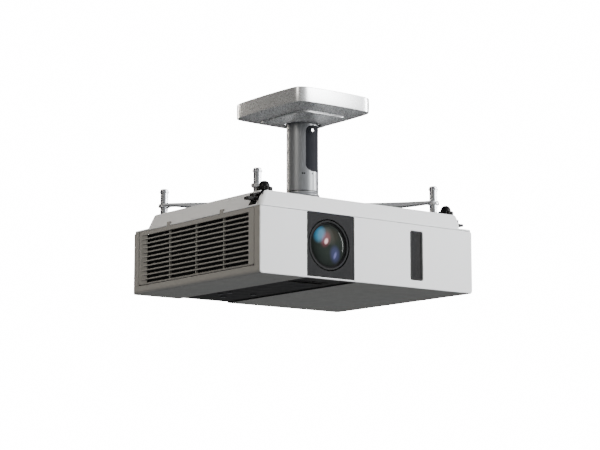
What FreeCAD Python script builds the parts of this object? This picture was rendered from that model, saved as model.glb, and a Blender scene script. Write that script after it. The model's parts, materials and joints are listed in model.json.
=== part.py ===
import FreeCAD, Part
import math
import os
import re
import Sketcher
from FreeCAD import Placement, Rotation, Vector

# Ceiling-hung video projector with its ceiling mount, in millimetres.
# The origin is the centre of the mounting face on the ceiling, +Z is up, and
# the lens looks towards -Y.  The projector hangs upside down, so its real top
# faces the floor and its feet point at the ceiling.

SIZES = {
    # ceiling plate, column and the cover round its top
    "plate_width": 118, "plate_depth": 146, "plate_thick": 4, "plate_corner": 14,
    "bolt_span_x": 84, "bolt_span_y": 112, "bolt_hole": 3.5, "cable_hole": 19,
    "flange_rim": 5, "flange_height": 12, "fit_gap": 0.05,
    "column_radius": 25, "column_wall": 2.5, "column_length": 145,
    "window_rise": 30, "window_high": 42, "window_half": 16.9, "window_corner": 10,
    "window_turn": 17, "grub_rise": 26,
    "cover_width": 152.9, "cover_depth": 180.4, "cover_corner": 27, "cover_rim": 23.5,
    "cover_gap": 0.3, "cover_wall": 2.2, "cover_slope": 4.2, "cover_step": 3, "cover_dish": 7.6,
    "step_width": 91, "step_depth": 119, "step_corner": 18, "hole_gap": 4,
    # swivel head, tilt block and hub
    "collar_gap": 1.5, "collar_height": 6, "collar_inset": 0.4, "collar_flare": 2,
    "swivel_bolt_radius": 5, "tilt_drop": 12.5, "roll_drop": 20.5, "pin_radius": 2.5,
    "ear_inner": 19, "ear_thick": 4, "ear_half": 8, "ear_round": 7, "block_half": 18.5,
    "block_slim": 10, "block_head": 4.5, "hub_drop": 21, "hub_thick": 3, "hub_radius": 48,
    "hub_window_x": 28, "hub_window_y": 18.4,
    # arms and posts
    "arm_half": 9.5, "arm_web": 2, "arm_depth": 5.5, "arm_bow": 9, "hub_reach": 38,
    "slot_half": 6.3, "slot_length": 34,
    "post_radius": 6, "post_height": 41.5, "cap_radius": 7.2, "cap_height": 6.2, "cap_flange": 2.8,
    "nut_radius": 9, "nut_height": 3.5,
    # projector case
    "case_width": 406, "case_depth": 332, "case_height": 96.7, "case_gap": 37,
    "lip_height": 2.8, "taper_height": 23.5, "wall": 2.5, "seam": 0.3, "edge_round": 2.2,
    "lens_offset": 78.8, "panel_shift": 3.4, "panel_half": 43.4, "lens_ratio": 0.388, "lens_step": 2.8,
    "barrel_wall": 1.5, "glass_step": 3.7, "glass_depth": 6,
    "ir_left": 77.4, "ir_right": 101.6, "ir_low": 12, "ir_top": 10.4,
    "door_margin": 15.1, "door_low": 12.8, "door_gap": 0.6, "rib_half": 1,
    "slot_rows": 11, "slot_height": 5, "slot_base": 15.4, "slot_top": 11.9, "latch_half": 5,
    "band_left": 118, "band_right": 23.5, "band_inset": 6, "band_depth": 1.8,
    "key_radius": 4.8, "key_travel": 0.8,
    "filter_thick": 6, "fan_ratio": 0.41, "fan_thick": 25, "blade_gap": 5, "hub_core": 15,
    # adjustable front feet
    "foot_inset_x": 27.8, "foot_inset_y": 28.3, "notch_inset": 20, "foot_ring_radius": 12.2, "foot_ring_height": 5.5,
    "foot_dome_radius": 8.3, "foot_stud": 4, "foot_tip": 15.5,
}

doc = FreeCAD.newDocument("ceiling_projector")
sheet = doc.addObject("Spreadsheet::Sheet", "sizes")
for row, (alias, size) in enumerate(SIZES.items(), 1):
    sheet.set(f"A{row}", alias)
    sheet.set(f"B{row}", str(size))
    sheet.setAlias(f"B{row}", alias)
doc.recompute()

NODES = []


def bound(text):
    """The same expression with each size name pointing at its cell."""
    return re.sub(r"[a-z][a-z_]*", lambda m: "sizes." + m.group() if m.group() in SIZES else m.group(),
                  str(text))


def number(text):
    """The present value of an expression."""
    value = sheet.evalExpression(bound(text))
    return float(getattr(value, "Value", value))


def bind(target, prop, text):
    target.setExpression(prop, bound(text))


def node(piece, label):
    """Marks an object as a finished piece of the product, under its own name."""
    piece.Label = label
    NODES.append(piece)
    return piece


def place(piece, x=0, y=0, z=0, turn=None):
    """Puts a piece at bound coordinates; turn is (axis, degrees)."""
    if turn:
        piece.Placement = Placement(Vector(), Rotation(Vector(*turn[0]), turn[1]))
    for letter, text in zip("xyz", (x, y, z)):
        bind(piece, f"Placement.Base.{letter}", text)
    return piece


# ---- Part primitives and booleans, each bound to the sheet

TO_X = ((0, 1, 0), 90)
TO_Y = ((1, 0, 0), -90)
TO_FRONT = ((1, 0, 0), 90)


def box(name, x, y, z):
    """A block between bound low and high coordinates."""
    block = doc.addObject("Part::Box", name)
    for prop, (low, high) in zip(("Length", "Width", "Height"), (x, y, z)):
        bind(block, prop, f"({high}) - ({low})")
    return place(block, x[0], y[0], z[0])


def rod(name, radius, low, high, centre=(0, 0), axis="z", angle=None):
    """A cylinder along an axis, from low to high; centre gives the other two coordinates."""
    bar = doc.addObject("Part::Cylinder", name)
    bind(bar, "Radius", radius)
    bind(bar, "Height", f"({high}) - ({low})")
    if angle is not None:
        bind(bar, "Angle", angle)
    if axis == "x":
        return place(bar, low, centre[0], centre[1], TO_X)
    if axis == "y":
        return place(bar, centre[0], low, centre[1], TO_Y)
    return place(bar, centre[0], centre[1], low)


def fuse(name, *pieces):
    joined = doc.addObject("Part::MultiFuse", name)
    joined.Shapes = list(pieces)
    return joined


def group(name, *pieces):
    """Separate solids of one kind that share a node."""
    joined = doc.addObject("Part::Compound", name)
    joined.Links = list(pieces)
    return joined


def cut(name, base, *tools):
    result = doc.addObject("Part::Cut", name)
    result.Base = base
    result.Tool = tools[0] if len(tools) == 1 else fuse(name + "_tools", *tools)
    return result


def common(name, *pieces):
    result = doc.addObject("Part::MultiCommon", name)
    result.Shapes = list(pieces)
    return result


def ring(name, outer, inner, low, high, centre=(0, 0), axis="z"):
    return cut(name, rod(name + "_outer", outer, low, high, centre, axis),
               rod(name + "_bore", inner, f"({low}) - 1", f"({high}) + 1", centre, axis))


# ---- PartDesign bodies with dimensioned sketches

def new_body(name):
    return doc.addObject("PartDesign::Body", name)


def new_sketch(body, name, plane="XY_Plane", offset=0):
    """A sketch on one of the body's own origin planes, moved along its normal."""
    sketch = body.newObject("Sketcher::SketchObject", name)
    support = [o for o in body.Origin.OriginFeatures if o.Role == plane][0]
    sketch.AttachmentSupport = (support, [""])
    sketch.MapMode = "FlatFace"
    bind(sketch, "AttachmentOffset.Base.z", offset)
    return sketch


def dimension(sketch, kind, where, text):
    """One driving dimension, bound to the sheet."""
    index = sketch.addConstraint(Sketcher.Constraint(kind, *where, number(text)))
    label = f"size{index}"
    sketch.renameConstraint(index, label)
    bind(sketch, "Constraints." + label, text)


def polygon(sketch, points):
    """A closed outline whose corners are each held by two dimensions."""
    first = sketch.GeometryCount
    spots = [Vector(number(x), number(y), 0) for x, y in points]
    count = len(points)
    for k in range(count):
        sketch.addGeometry(Part.LineSegment(spots[k], spots[(k + 1) % count]), False)
    for k in range(count):
        sketch.addConstraint(Sketcher.Constraint("Coincident", first + k, 2, first + (k + 1) % count, 1))
    for k, (x, y) in enumerate(points):
        dimension(sketch, "DistanceX", (-1, 1, first + k, 1), x)
        dimension(sketch, "DistanceY", (-1, 1, first + k, 1), y)


def rectangle(sketch, u, v, corner):
    """A rectangle with round corners, held by its four sides and one radius."""
    first = sketch.GeometryCount
    left, right, low, high, r = (number(q) for q in (*u, *v, corner))
    sides = (((left + r, low), (right - r, low)), ((right, low + r), (right, high - r)),
             ((right - r, high), (left + r, high)), ((left, high - r), (left, low + r)))
    for a, b in sides:
        sketch.addGeometry(Part.LineSegment(Vector(*a, 0), Vector(*b, 0)), False)
    centres = ((right - r, low + r), (right - r, high - r), (left + r, high - r), (left + r, low + r))
    for k, centre in enumerate(centres):
        round_corner = Part.Circle(Vector(*centre, 0), Vector(0, 0, 1), r)
        start = math.radians(90 * k - 90)
        sketch.addGeometry(Part.ArcOfCircle(round_corner, start, start + math.pi / 2), False)
    for k in range(4):
        sketch.addConstraint(Sketcher.Constraint("Tangent", first + k, 2, first + 4 + k, 1))
        sketch.addConstraint(Sketcher.Constraint("Tangent", first + 4 + k, 2, first + (k + 1) % 4, 1))
        direction = "Horizontal" if k % 2 == 0 else "Vertical"
        sketch.addConstraint(Sketcher.Constraint(direction, first + k))
        if k:
            sketch.addConstraint(Sketcher.Constraint("Equal", first + 4, first + 4 + k))
    dimension(sketch, "DistanceX", (-1, 1, first + 3, 1), u[0])
    dimension(sketch, "DistanceX", (-1, 1, first + 1, 1), u[1])
    dimension(sketch, "DistanceY", (-1, 1, first, 1), v[0])
    dimension(sketch, "DistanceY", (-1, 1, first + 2, 1), v[1])
    dimension(sketch, "Radius", (first + 4,), corner)


def circle(sketch, x, y, radius):
    index = sketch.addGeometry(
        Part.Circle(Vector(number(x), number(y), 0), Vector(0, 0, 1), number(radius)), False)
    dimension(sketch, "DistanceX", (-1, 1, index, 3), x)
    dimension(sketch, "DistanceY", (-1, 1, index, 3), y)
    dimension(sketch, "Radius", (index,), radius)


def pad(body, sketch, length):
    feature = body.newObject("PartDesign::Pad", body.Name + "_pad")
    feature.Profile = (sketch, [""])
    bind(feature, "Length", length)
    return feature


def slab(name, plane, u, v, w, corner):
    """A padded plate: u and v span the plane, w is the stretch of the third axis.
    On the XZ plane the sketch's normal is -Y."""
    body = new_body(name)
    low, high = w
    sketch = new_sketch(body, name + "_outline", plane, f"-({high})" if plane == "XZ_Plane" else low)
    rectangle(sketch, u, v, corner)
    pad(body, sketch, f"({high}) - ({low})")
    return body


def turned(name, points):
    """A turned piece about its own Z axis, from (radius, height) corners."""
    body = new_body(name)
    sketch = new_sketch(body, name + "_profile", "XZ_Plane")
    polygon(sketch, points)
    turn = body.newObject("PartDesign::Revolution", name + "_turn")
    turn.Profile = (sketch, [""])
    turn.ReferenceAxis = (sketch, ["V_Axis"])
    turn.Angle = 360
    return body


def stack(name, runs):
    """A body lofted through runs of two rounded rectangles (z, x span, y span, corner)."""
    body = new_body(name)
    for k, sections in enumerate(runs):
        outlines = []
        for end, (z, x, y, corner) in enumerate(sections):
            sketch = new_sketch(body, f"{name}_outline{k}{end}", "XY_Plane", z)
            rectangle(sketch, x, y, corner)
            outlines.append(sketch)
        loft = body.newObject("PartDesign::AdditiveLoft", f"{name}_loft{k}")
        loft.Profile = (outlines[0], [""])
        loft.Sections = [(outlines[1], [""])]
        loft.Ruled = True
    return body


def round_edges(body, radius, wanted):
    """Fillets the body's edges that wanted(edge) picks."""
    doc.recompute()
    names = [f"Edge{k}" for k, edge in enumerate(body.Shape.Edges, 1) if wanted(edge)]
    solid = body.Tip
    fillet = body.newObject("PartDesign::Fillet", body.Name + "_fillet")
    fillet.Base = (solid, names)
    bind(fillet, "Radius", radius)
    return body


def polar(body, feature, count):
    pattern = body.newObject("PartDesign::PolarPattern", feature.Name + "_round")
    pattern.Originals = [feature]
    pattern.Axis = ([o for o in body.Origin.OriginFeatures if o.Role == "Z_Axis"][0], [""])
    pattern.Angle = 360
    pattern.Occurrences = count
    body.Tip = pattern


# ---- levels and shared places, as expressions
COLUMN_END = "-column_length"
TILT_Z = f"({COLUMN_END} - tilt_drop)"
ROLL_Z = f"({COLUMN_END} - roll_drop)"
HUB_TOP = f"({COLUMN_END} - hub_drop)"
TAPER_TOP = f"({COLUMN_END} - case_gap)"
LIP_TOP = f"({TAPER_TOP} - taper_height)"
LIP_LOW = f"({LIP_TOP} - lip_height)"
CASE_LOW = f"({LIP_LOW} - case_height)"
CASE_TOP = f"({LIP_LOW} - seam)"
SIDE = "(case_width / 2)"
FRONT = "(case_depth / 2)"
PANEL = "(panel_shift - lens_offset)"
LENS = ("-lens_offset", f"({CASE_LOW} + case_height / 2 + 1.65)")
LENS_HOLE = "(case_height * lens_ratio)"
BARREL = f"({LENS_HOLE} - lens_step)"
GLASS = f"({BARREL} - glass_step)"
IR_TOP = f"({CASE_LOW} + case_height - ir_top)"
FLANGE = "(column_radius + flange_rim)"
COVER_HOLE = "(column_radius + hole_gap)"
WINDOW_LOW = f"({COLUMN_END} + window_rise)"
DOOR = f"({FRONT} - door_margin)"
BAND_FRONT = f"(-{FRONT} + band_inset)"
FOOT_X = f"({SIDE} - foot_inset_x)"
FOOT_Y = f"({FRONT} - foot_inset_y)"


def span(half):
    return (f"-({half})", f"({half})")


# ---- ceiling plate and column

def anchor_plate():
    plate = slab("anchor_blank", "XY_Plane", span("plate_width / 2"), span("plate_depth / 2"),
                 ("-plate_thick", "0"), "plate_corner")
    flange = rod("anchor_flange", FLANGE, "-plate_thick - flange_height", "-plate_thick / 2")
    bores = [rod("anchor_cable_hole", "cable_hole", "-plate_thick - 1", "1"),
             rod("anchor_socket", "column_radius + fit_gap", "-plate_thick - flange_height - 1", "-plate_thick")]
    for sx in (-1, 1):
        for sy in (-1, 1):
            bores.append(rod(f"bolt_hole_{len(bores)}", "bolt_hole", "-plate_thick - 1", "1",
                             (f"{sx} * bolt_span_x / 2", f"{sy} * bolt_span_y / 2")))
    bores += radial_pins("flange_screw_hole", FLANGE_SCREWS, "fit_gap")
    node(cut("anchor_cut", fuse("anchor_joined", plate, flange), *bores), "anchor_plate")


def column():
    tube = ring("column_blank", "column_radius", "column_radius - column_wall", COLUMN_END, "-plate_thick")
    window = slab("column_window", "XZ_Plane", span("window_half"), (WINDOW_LOW, "-window_high"),
                  ("-column_radius - 5", "-column_radius / 2"), "window_corner")
    place(window, turn=((0, 0, 1), number("window_turn")))
    floor = ring("column_floor", "column_radius - 0.5", "swivel_bolt_radius + fit_gap",
                 COLUMN_END, f"{COLUMN_END} + 10")
    screw_holes = radial_pins("grub_screw_hole", GRUB_SCREWS, "fit_gap")
    node(fuse("column_welded", cut("column_cut", tube, window, *screw_holes), floor), "column_tube")
    washer = turned("washer_turned", (("swivel_bolt_radius + 1", "0"), ("column_radius - 1.5", "0"),
                                      ("column_radius - 1.5", "collar_gap - seam"),
                                      ("swivel_bolt_radius + 1", "collar_gap - seam")))
    node(place(washer, 0, 0, f"{COLUMN_END} - collar_gap + seam"), "bearing_washer")


def cable_cover():
    sleeve = ring("cable_sleeve", "column_radius - 0.4", "column_radius - column_wall + 0.2",
                  f"{WINDOW_LOW} + seam", "-window_high - seam")
    outline = slab("cable_outline", "XZ_Plane", span("window_half - seam"),
                   (f"{WINDOW_LOW} + seam", "-window_high - seam"), ("-column_radius - 5", "-column_radius / 2"),
                   "window_corner - seam")
    place(outline, turn=((0, 0, 1), number("window_turn")))
    screw_z = "(-window_high - 8)"
    hole = place_radial("cable_screw_hole", 1.55, "column_wall + 4", 0, screw_z, "column_radius + 1")
    node(cut("cable_cover_cut", common("cable_strip", sleeve, outline), hole), "cable_cover")
    head = place_radial("cable_screw_head", 2.4, 1.3, 0, screw_z, "column_radius + 0.95")
    shank = place_radial("cable_screw_shank", 1.5, "column_wall + 2", 0, screw_z, "column_radius")
    node(fuse("cable_screw", head, shank), "cable_cover_screw")


# Radial screws: angle from the front, height, radius, length and outer reach.
GRUB_SCREWS = [(angle, f"{COLUMN_END} + grub_rise", 1.3, 2.6, "column_radius + 0.1") for angle in (-30, -37, 0)]
FLANGE_SCREWS = [(angle, "-plate_thick - flange_height / 2", 2.5, 4.6, f"{FLANGE} + 0.2")
                 for angle in (60, 180, 300)]


def radial_pins(name, screws, gap):
    """The screws themselves, or their holes when gap widens and lengthens them."""
    return [place_radial(f"{name}_{k}", f"{radius} + {gap}", f"{length} + 2 * {gap}", angle, z, f"{reach} + {gap}")
            for k, (angle, z, radius, length, reach) in enumerate(screws)]


def column_screws():
    """Two grub screws side by side and one more low on the column, and three in the flange."""
    screws = radial_pins("grub_screw", GRUB_SCREWS, "0") + radial_pins("flange_screw", FLANGE_SCREWS, "0")
    node(group("column_screws_group", *screws), "column_screws")


def place_radial(name, radius, length, angle, z, reach):
    """A short pin pointing out of the column; angle is counted from the front."""
    pin = doc.addObject("Part::Cylinder", name)
    bind(pin, "Radius", radius)
    bind(pin, "Height", length)
    outward = Vector(math.sin(math.radians(angle)), -math.cos(math.radians(angle)), 0)
    pin.Placement = Placement(Vector(), Rotation(Vector(0, 0, 1), outward))
    bind(pin, "Placement.Base.x", f"({reach} - ({length})) * {outward.x:.6f}")
    bind(pin, "Placement.Base.y", f"({reach} - ({length})) * {outward.y:.6f}")
    bind(pin, "Placement.Base.z", z)
    return pin


def cover_solid(name, inset, lift):
    """The ceiling cover's outside, or its inside when inset by the wall."""
    width, depth = f"cover_width / 2 - ({inset})", f"cover_depth / 2 - ({inset})"
    step_w, step_d = f"step_width / 2 - ({inset})", f"step_depth / 2 - ({inset})"
    top = f"(-cover_gap + ({lift}))"
    rim_low = f"(-cover_rim - cover_gap + ({lift}))"
    step_top = f"({rim_low} - cover_slope)"
    step_low = f"({step_top} - cover_step)"
    dish = f"({step_low} - cover_dish)"
    end = f"({COVER_HOLE} + 4 - ({inset}))"
    corner, step_round = f"cover_corner - ({inset})", f"step_corner - ({inset})"
    return stack(name, (
        ((top, span(width), span(depth), corner), (rim_low, span(width), span(depth), corner)),
        ((rim_low, span(width), span(depth), corner), (step_top, span(step_w), span(step_d), step_round)),
        ((step_top, span(step_w), span(step_d), step_round), (step_low, span(step_w), span(step_d), step_round)),
        ((step_low, span(step_w), span(step_d), step_round), (dish, span(end), span(end), f"{end} - 0.5")),
    ))


def ceiling_cover():
    outside = cover_solid("cover_outside", "0", "0")
    inside = cover_solid("cover_inside", "cover_wall", "cover_wall")
    hole = rod("cover_opening", COVER_HOLE, "-60", "0")
    node(cut("cover_cut", outside, inside, hole), "ceiling_cover")
    clips = []
    low = "(-cover_gap - cover_rim - cover_slope - cover_step - cover_dish)"
    lift = "cover_dish * 4.276 / (step_width / 2 - column_radius - hole_gap - 4)"
    for k, side in enumerate((-1, 1)):
        leaf = box(f"clip_leaf_{k}", (f"{side} * (column_radius + 1.3) - 0.5", f"{side} * (column_radius + 1.3) + 0.5"),
                   span(4), (f"{low} + 0.5", f"{low} + 14"))
        foot = box(f"clip_foot_{k}", (f"{side} * (column_radius + 5) - 4.2", f"{side} * (column_radius + 5) + 4.2"),
                   span(4), (f"{low} + cover_wall + {lift}", f"{low} + cover_wall + {lift} + 1"))
        clips.append(fuse(f"clip_{k}", leaf, foot))
    node(group("clips", *clips), "cover_clips")


# ---- swivel head, tilt block and hub

def swivel_head():
    floor = f"({COLUMN_END} - collar_gap - collar_height)"
    waist, skirt, bore = "column_radius - collar_inset", "column_radius + collar_flare", "swivel_bolt_radius - 0.5"
    collar = turned("collar_turned", ((bore, "0"), (skirt, "0"), (skirt, "1.2"), (waist, "collar_height - 1"),
                                      (waist, "collar_height"), (bore, "collar_height")))
    place(collar, 0, 0, floor)
    ears = []
    for side in (-1, 1):
        x = ("ear_inner", "ear_inner + ear_thick") if side > 0 else ("-ear_inner - ear_thick", "-ear_inner")
        slab_z = (f"{TILT_Z} - ear_round", f"{floor} + 1")
        ears.append(slab(f"head_ear_{side + 1}", "YZ_Plane", span("ear_half"), slab_z, x, 3))
    tilt_bore = rod("tilt_bore", "pin_radius + fit_gap", "-40", "40", (0, TILT_Z), "x")
    node(cut("collar_cut", fuse("collar_joined", collar, *ears), tilt_bore), "swivel_collar")
    neck = "swivel_bolt_radius - 0.55"
    shoulder, head_low, head_top, head = "-collar_gap + 0.01", "10.3", "16", "8"
    bolt = turned("swivel_bolt_turned", (("0", "-collar_height - collar_gap"), (neck, "-collar_height - collar_gap"),
                                         (neck, shoulder), ("swivel_bolt_radius", shoulder),
                                         ("swivel_bolt_radius", head_low), (head, head_low),
                                         (head, head_top), ("0", head_top)))
    node(place(bolt, 0, 0, COLUMN_END), "swivel_bolt")


def tilt_block():
    upper = box("block_upper", span("block_half"), span("block_half - 1"), (f"{ROLL_Z} + 4", f"{TILT_Z} + 1.3"))
    knuckle = rod("block_knuckle", "block_head", "-block_half", "block_half", (0, TILT_Z), "x")
    lower = box("block_lower", span("block_slim"), span("block_half - 0.6"), (f"{ROLL_Z} - 4", f"{ROLL_Z} + 4"))
    tilt_bore = rod("block_tilt_bore", "pin_radius", "-40", "40", (0, TILT_Z), "x")
    roll_bore = rod("block_roll_bore", "pin_radius + fit_gap", "-40", "40", (0, ROLL_Z), "y")
    node(cut("block_cut", fuse("block_joined", upper, knuckle, lower), tilt_bore, roll_bore), "tilt_block")
    reach = "(ear_inner + ear_thick + 0.3)"
    shaft = rod("tilt_shaft", "pin_radius", f"-{reach}", reach, (0, TILT_Z), "x")
    heads = [rod("tilt_head_left", 4.5, f"-{reach} - 3", f"-{reach}", (0, TILT_Z), "x"),
             rod("tilt_head_right", 4.5, reach, f"{reach} + 3", (0, TILT_Z), "x")]
    node(fuse("tilt_pin_joined", shaft, *heads), "tilt_pin")


def hub():
    disc = rod("hub_disc", "hub_radius", f"{HUB_TOP} - hub_thick", HUB_TOP)
    ears = []
    for side in (-1, 1):
        y = ("ear_inner", "ear_inner + ear_thick") if side > 0 else ("-ear_inner - ear_thick", "-ear_inner")
        ears.append(slab(f"hub_ear_{side + 1}", "XZ_Plane", span("ear_half"),
                         (f"{HUB_TOP} - hub_thick + 0.5", f"{ROLL_Z} + 6"), y, 2))
    opening = box("hub_window", span("hub_window_x"), span("hub_window_y"),
                  (f"{HUB_TOP} - hub_thick - 1", f"{HUB_TOP} + 1"))
    bore = rod("hub_roll_bore", "pin_radius", "-40", "40", (0, ROLL_Z), "y")
    reach = "(ear_inner + ear_thick)"
    notches = [rod("hub_notch_front", 5.5, f"-{reach} - 5", f"-{reach}", (0, ROLL_Z), "y"),
               rod("hub_notch_rear", 5.5, reach, f"{reach} + 5", (0, ROLL_Z), "y")]
    screw_holes = [rod(f"hub_screw_hole_{k}", 2.1, f"{HUB_TOP} - 9", f"{HUB_TOP} + 1", hub_spot(post))
                   for k, post in enumerate(POSTS.values())]
    node(cut("hub_cut", fuse("hub_joined", disc, *ears), opening, bore, *notches, *screw_holes), "hub_plate")
    shaft = rod("roll_shaft", "pin_radius", f"-{reach}", reach, (0, ROLL_Z), "y")
    heads = [rod("roll_head_front", 5, f"-{reach} - 4", f"-{reach}", (0, ROLL_Z), "y"),
             rod("roll_nut_rear", 5, reach, f"{reach} + 4", (0, ROLL_Z), "y")]
    node(fuse("roll_bolt_joined", shaft, *heads), "roll_bolt")


# ---- arms and the posts they clamp
# Each post's place over the case, counted in from the case's sides.
POSTS = {"front_right": (f"{SIDE} - 59", f"-{FRONT} + 22"), "front_left": (f"-{SIDE} + 42", f"-{FRONT} + 65"),
         "rear_left": (f"-{SIDE} + 31.4", f"{FRONT} - 36"), "rear_right": (f"{SIDE} - 53", f"{FRONT} - 46")}


def heading_of(post):
    """A post's distance from the column and its direction as (reach, ux, uy)."""
    x, y = number(post[0]), number(post[1])
    reach = math.hypot(x, y)
    return reach, x / reach, y / reach


def hub_spot(post):
    """Where an arm is screwed to the hub: on the line from the centre to its post."""
    _, ux, uy = heading_of(post)
    return f"hub_reach * {ux:.6f}", f"hub_reach * {uy:.6f}"


def arm_sector(name, radius_in, radius_out, z, start, sweep, centre):
    """A curved bar: part of a flat ring round the arm's centre of curvature."""
    low, high = z
    outer = rod(name + "_out", radius_out, low, high, centre, angle=sweep)
    inner = rod(name + "_in", radius_in, f"{low} - 1", f"{high} + 1", centre)
    outer.Placement = Placement(Vector(), Rotation(Vector(0, 0, 1), start))
    return cut(name, outer, inner)


def arm(label, post):
    """A stamped channel arm, bowed sideways by arm_bow, slotted at its post."""
    reach, ux, uy = heading_of(post)
    side = 1 if ux * uy < 0 else -1
    chord = f"({reach:.4f} - hub_reach)"
    bend = f"(({chord} * {chord} / 4 + arm_bow * arm_bow) / (2 * arm_bow))"
    mid = f"(({reach:.4f} + hub_reach) / 2)"
    back = f"({side} * ({bend} - arm_bow))"
    centre = (f"{ux:.6f} * {mid} - ({-uy:.6f}) * {back}", f"{uy:.6f} * {mid} - ({ux:.6f}) * {back}")
    half_angle = math.degrees(math.asin(number(f"{chord} / (2 * {bend})")))
    heading = math.degrees(math.atan2(uy, ux)) + 90 * side
    sweep = 2 * half_angle
    web_z = (HUB_TOP, f"{HUB_TOP} + arm_web")
    skirt_z = (f"{HUB_TOP} + arm_web - arm_depth", f"{HUB_TOP} + arm_web")
    web = arm_sector(label + "_web", f"{bend} - arm_half", f"{bend} + arm_half", web_z,
                     heading - half_angle, sweep, centre)
    ends = [rod(f"{label}_inner_end", "arm_half", *web_z, hub_spot(post)),
            rod(f"{label}_outer_end", "arm_half", *web_z, post)]
    bare = math.degrees(math.asin(14 / number(bend)))
    first = heading - half_angle + (bare if side < 0 else bare / 3)
    skirts = []
    for name, low, high in (("near", f"{bend} - arm_half", f"{bend} - arm_half + 1.8"),
                            ("far", f"{bend} + arm_half - 1.8", f"{bend} + arm_half")):
        skirts.append(arm_sector(f"{label}_{name}_skirt", low, high, skirt_z, first,
                                 sweep - bare * 4 / 3, centre))
    slot_sweep = number("slot_length") / number(bend) * 180 / math.pi
    slot_start = heading - half_angle if side > 0 else heading + half_angle - slot_sweep
    slot_z = (f"{HUB_TOP} - 1", f"{HUB_TOP} + arm_web + 1")
    slot = arm_sector(label + "_slot", f"{bend} - slot_half", f"{bend} + slot_half", slot_z,
                      slot_start, slot_sweep, centre)
    tools = [slot, rod(label + "_post_hole", "slot_half", *slot_z, post),
             rod(label + "_screw_hole", 2.1, *slot_z, hub_spot(post))]
    node(cut(label + "_cut", fuse(label + "_joined", web, *ends, *skirts), *tools), label)


def arms():
    for name, post in POSTS.items():
        arm("arm_" + name, post)
    screws = []
    for k, post in enumerate(POSTS.values()):
        spot = hub_spot(post)
        shank = rod(f"arm_screw_shank_{k}", 2, f"{HUB_TOP} - hub_thick - 1.5", f"{HUB_TOP} + arm_web + 0.5", spot)
        head = rod(f"arm_screw_head_{k}", 4, f"{HUB_TOP} + arm_web", f"{HUB_TOP} + arm_web + 2.4", spot)
        screws.append(fuse(f"arm_screw_{k}", shank, head))
    node(group("arm_screws_group", *screws), "arm_screws")


def posts():
    bodies, caps, nuts = [], [], []
    for k, (x, y) in enumerate(POSTS.values()):
        post = turned(f"post_{k}", (("0", "-6"), ("2", "-6"), ("2", "0"), ("post_radius", "0"),
                                    ("post_radius", "post_height - cap_height"), ("0", "post_height - cap_height")))
        bodies.append(place(post, x, y, TAPER_TOP))
        flange_top, crown = "post_height - cap_height + cap_flange", "post_radius + 0.3"
        cap = turned(f"cap_{k}", (("0", "post_height - cap_height"), ("cap_radius", "post_height - cap_height"),
                                  ("cap_radius", flange_top), (crown, flange_top), (crown, "post_height - 1.6"),
                                  (f"{crown} - 1.8", "post_height"), ("0", "post_height")))
        caps.append(place(cap, x, y, TAPER_TOP))
        nuts.append(ring(f"nut_{k}", "nut_radius", "post_radius + fit_gap", f"{HUB_TOP} - nut_height", HUB_TOP, (x, y)))
    node(group("posts_group", *bodies), "post_rods")
    node(group("caps_group", *caps), "post_caps")
    node(group("nuts_group", *nuts), "post_nuts")


# ---- projector case: tray towards the ceiling, panels round it, cover towards the floor

def taper_solid(name, inset, lift):
    """The sloping tray on the case, or its hollow when inset by the wall."""
    lip = (span(f"{SIDE} - ({inset})"), span(f"{FRONT} - ({inset})"), f"5 - ({inset})")
    low = (span(f"{SIDE} - 3 - ({inset})"), (f"-{FRONT} + 3 + ({inset})", f"{FRONT} - 26 - ({inset})"), f"12 - ({inset})")
    top = (span(f"{SIDE} - 16 - ({inset})"), (f"-{FRONT} + 15 + ({inset})", f"{FRONT} - 25 - ({inset})"), f"14 - ({inset})")
    drop = f"({lift})"
    return stack(name, (
        ((f"{LIP_LOW} - {drop}", *lip), (f"{LIP_TOP} - {drop}", *lip)),
        ((f"{LIP_TOP} - {drop}", *low), (f"{TAPER_TOP} - {drop}", *top)),
    ))


FOOT_SIDES = (("left", -1), ("right", 1))
# Screws in the tray's face, counted in from the case's sides.
CASE_SCREWS = ((f"-{SIDE} + 83", f"{FRONT} - 106"), (f"{SIDE} - 143", f"{FRONT} - 106"), (f"{SIDE} - 33", "0"),
               (f"-{SIDE} + 143", f"-{FRONT} + 46"), (f"{SIDE} - 143", f"-{FRONT} + 46"),
               (f"-{SIDE} + 143", f"{FRONT} - 41"))
LATCH_Y = f"({DOOR} * 0.464)"


def outward(side, low, high):
    """A stretch of X counted outward on the wanted side of the case."""
    return (low, high) if side > 0 else (f"-({high})", f"-({low})")


def foot_pocket(name, side, gap):
    """The corner of the tray that a foot's housing fills: a strip in front of a low block."""
    x = outward(side, f"{FOOT_X} - 14 + ({gap})", f"{SIDE} + 1")
    base = f"{LIP_TOP} + 0.4 + ({gap})"
    front, middle, rear = f"-{FOOT_Y} - 12.2 + ({gap})", f"-{FOOT_Y} - 5.6 - ({gap})", f"-{FOOT_Y} + 7.7 - ({gap})"
    low_block = box(f"{name}_block", x, (f"-{FOOT_Y} - 6.8", rear), (base, f"{LIP_TOP} + 9.5 - ({gap})"))
    if side > 0:
        return low_block
    strip = box(f"{name}_strip", x, (front, middle), (base, f"{TAPER_TOP} + 1"))
    return fuse(name, strip, low_block)


def corner_notch(name, inset):
    """The right front corner is cut off square, clear of the foot's lever."""
    return box(name, (f"{SIDE} - notch_inset - ({inset})", f"{SIDE} + 1"),
               (f"-{FRONT} - 1", f"-{FOOT_Y} - 5.6 + ({inset})"), (f"{LIP_TOP} - ({inset})", f"{TAPER_TOP} + 1"))


def lever_opening(name, side):
    """The slot in the tray's side through which a foot's lever reaches its pivot."""
    return box(name, outward(side, f"{FOOT_X} + 6", f"{SIDE} + 2"), (f"-{FOOT_Y} - 5.6", f"-{FOOT_Y} + 5.6"),
               (f"{TAPER_TOP} - 16", f"{TAPER_TOP} - 3"))


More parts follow.
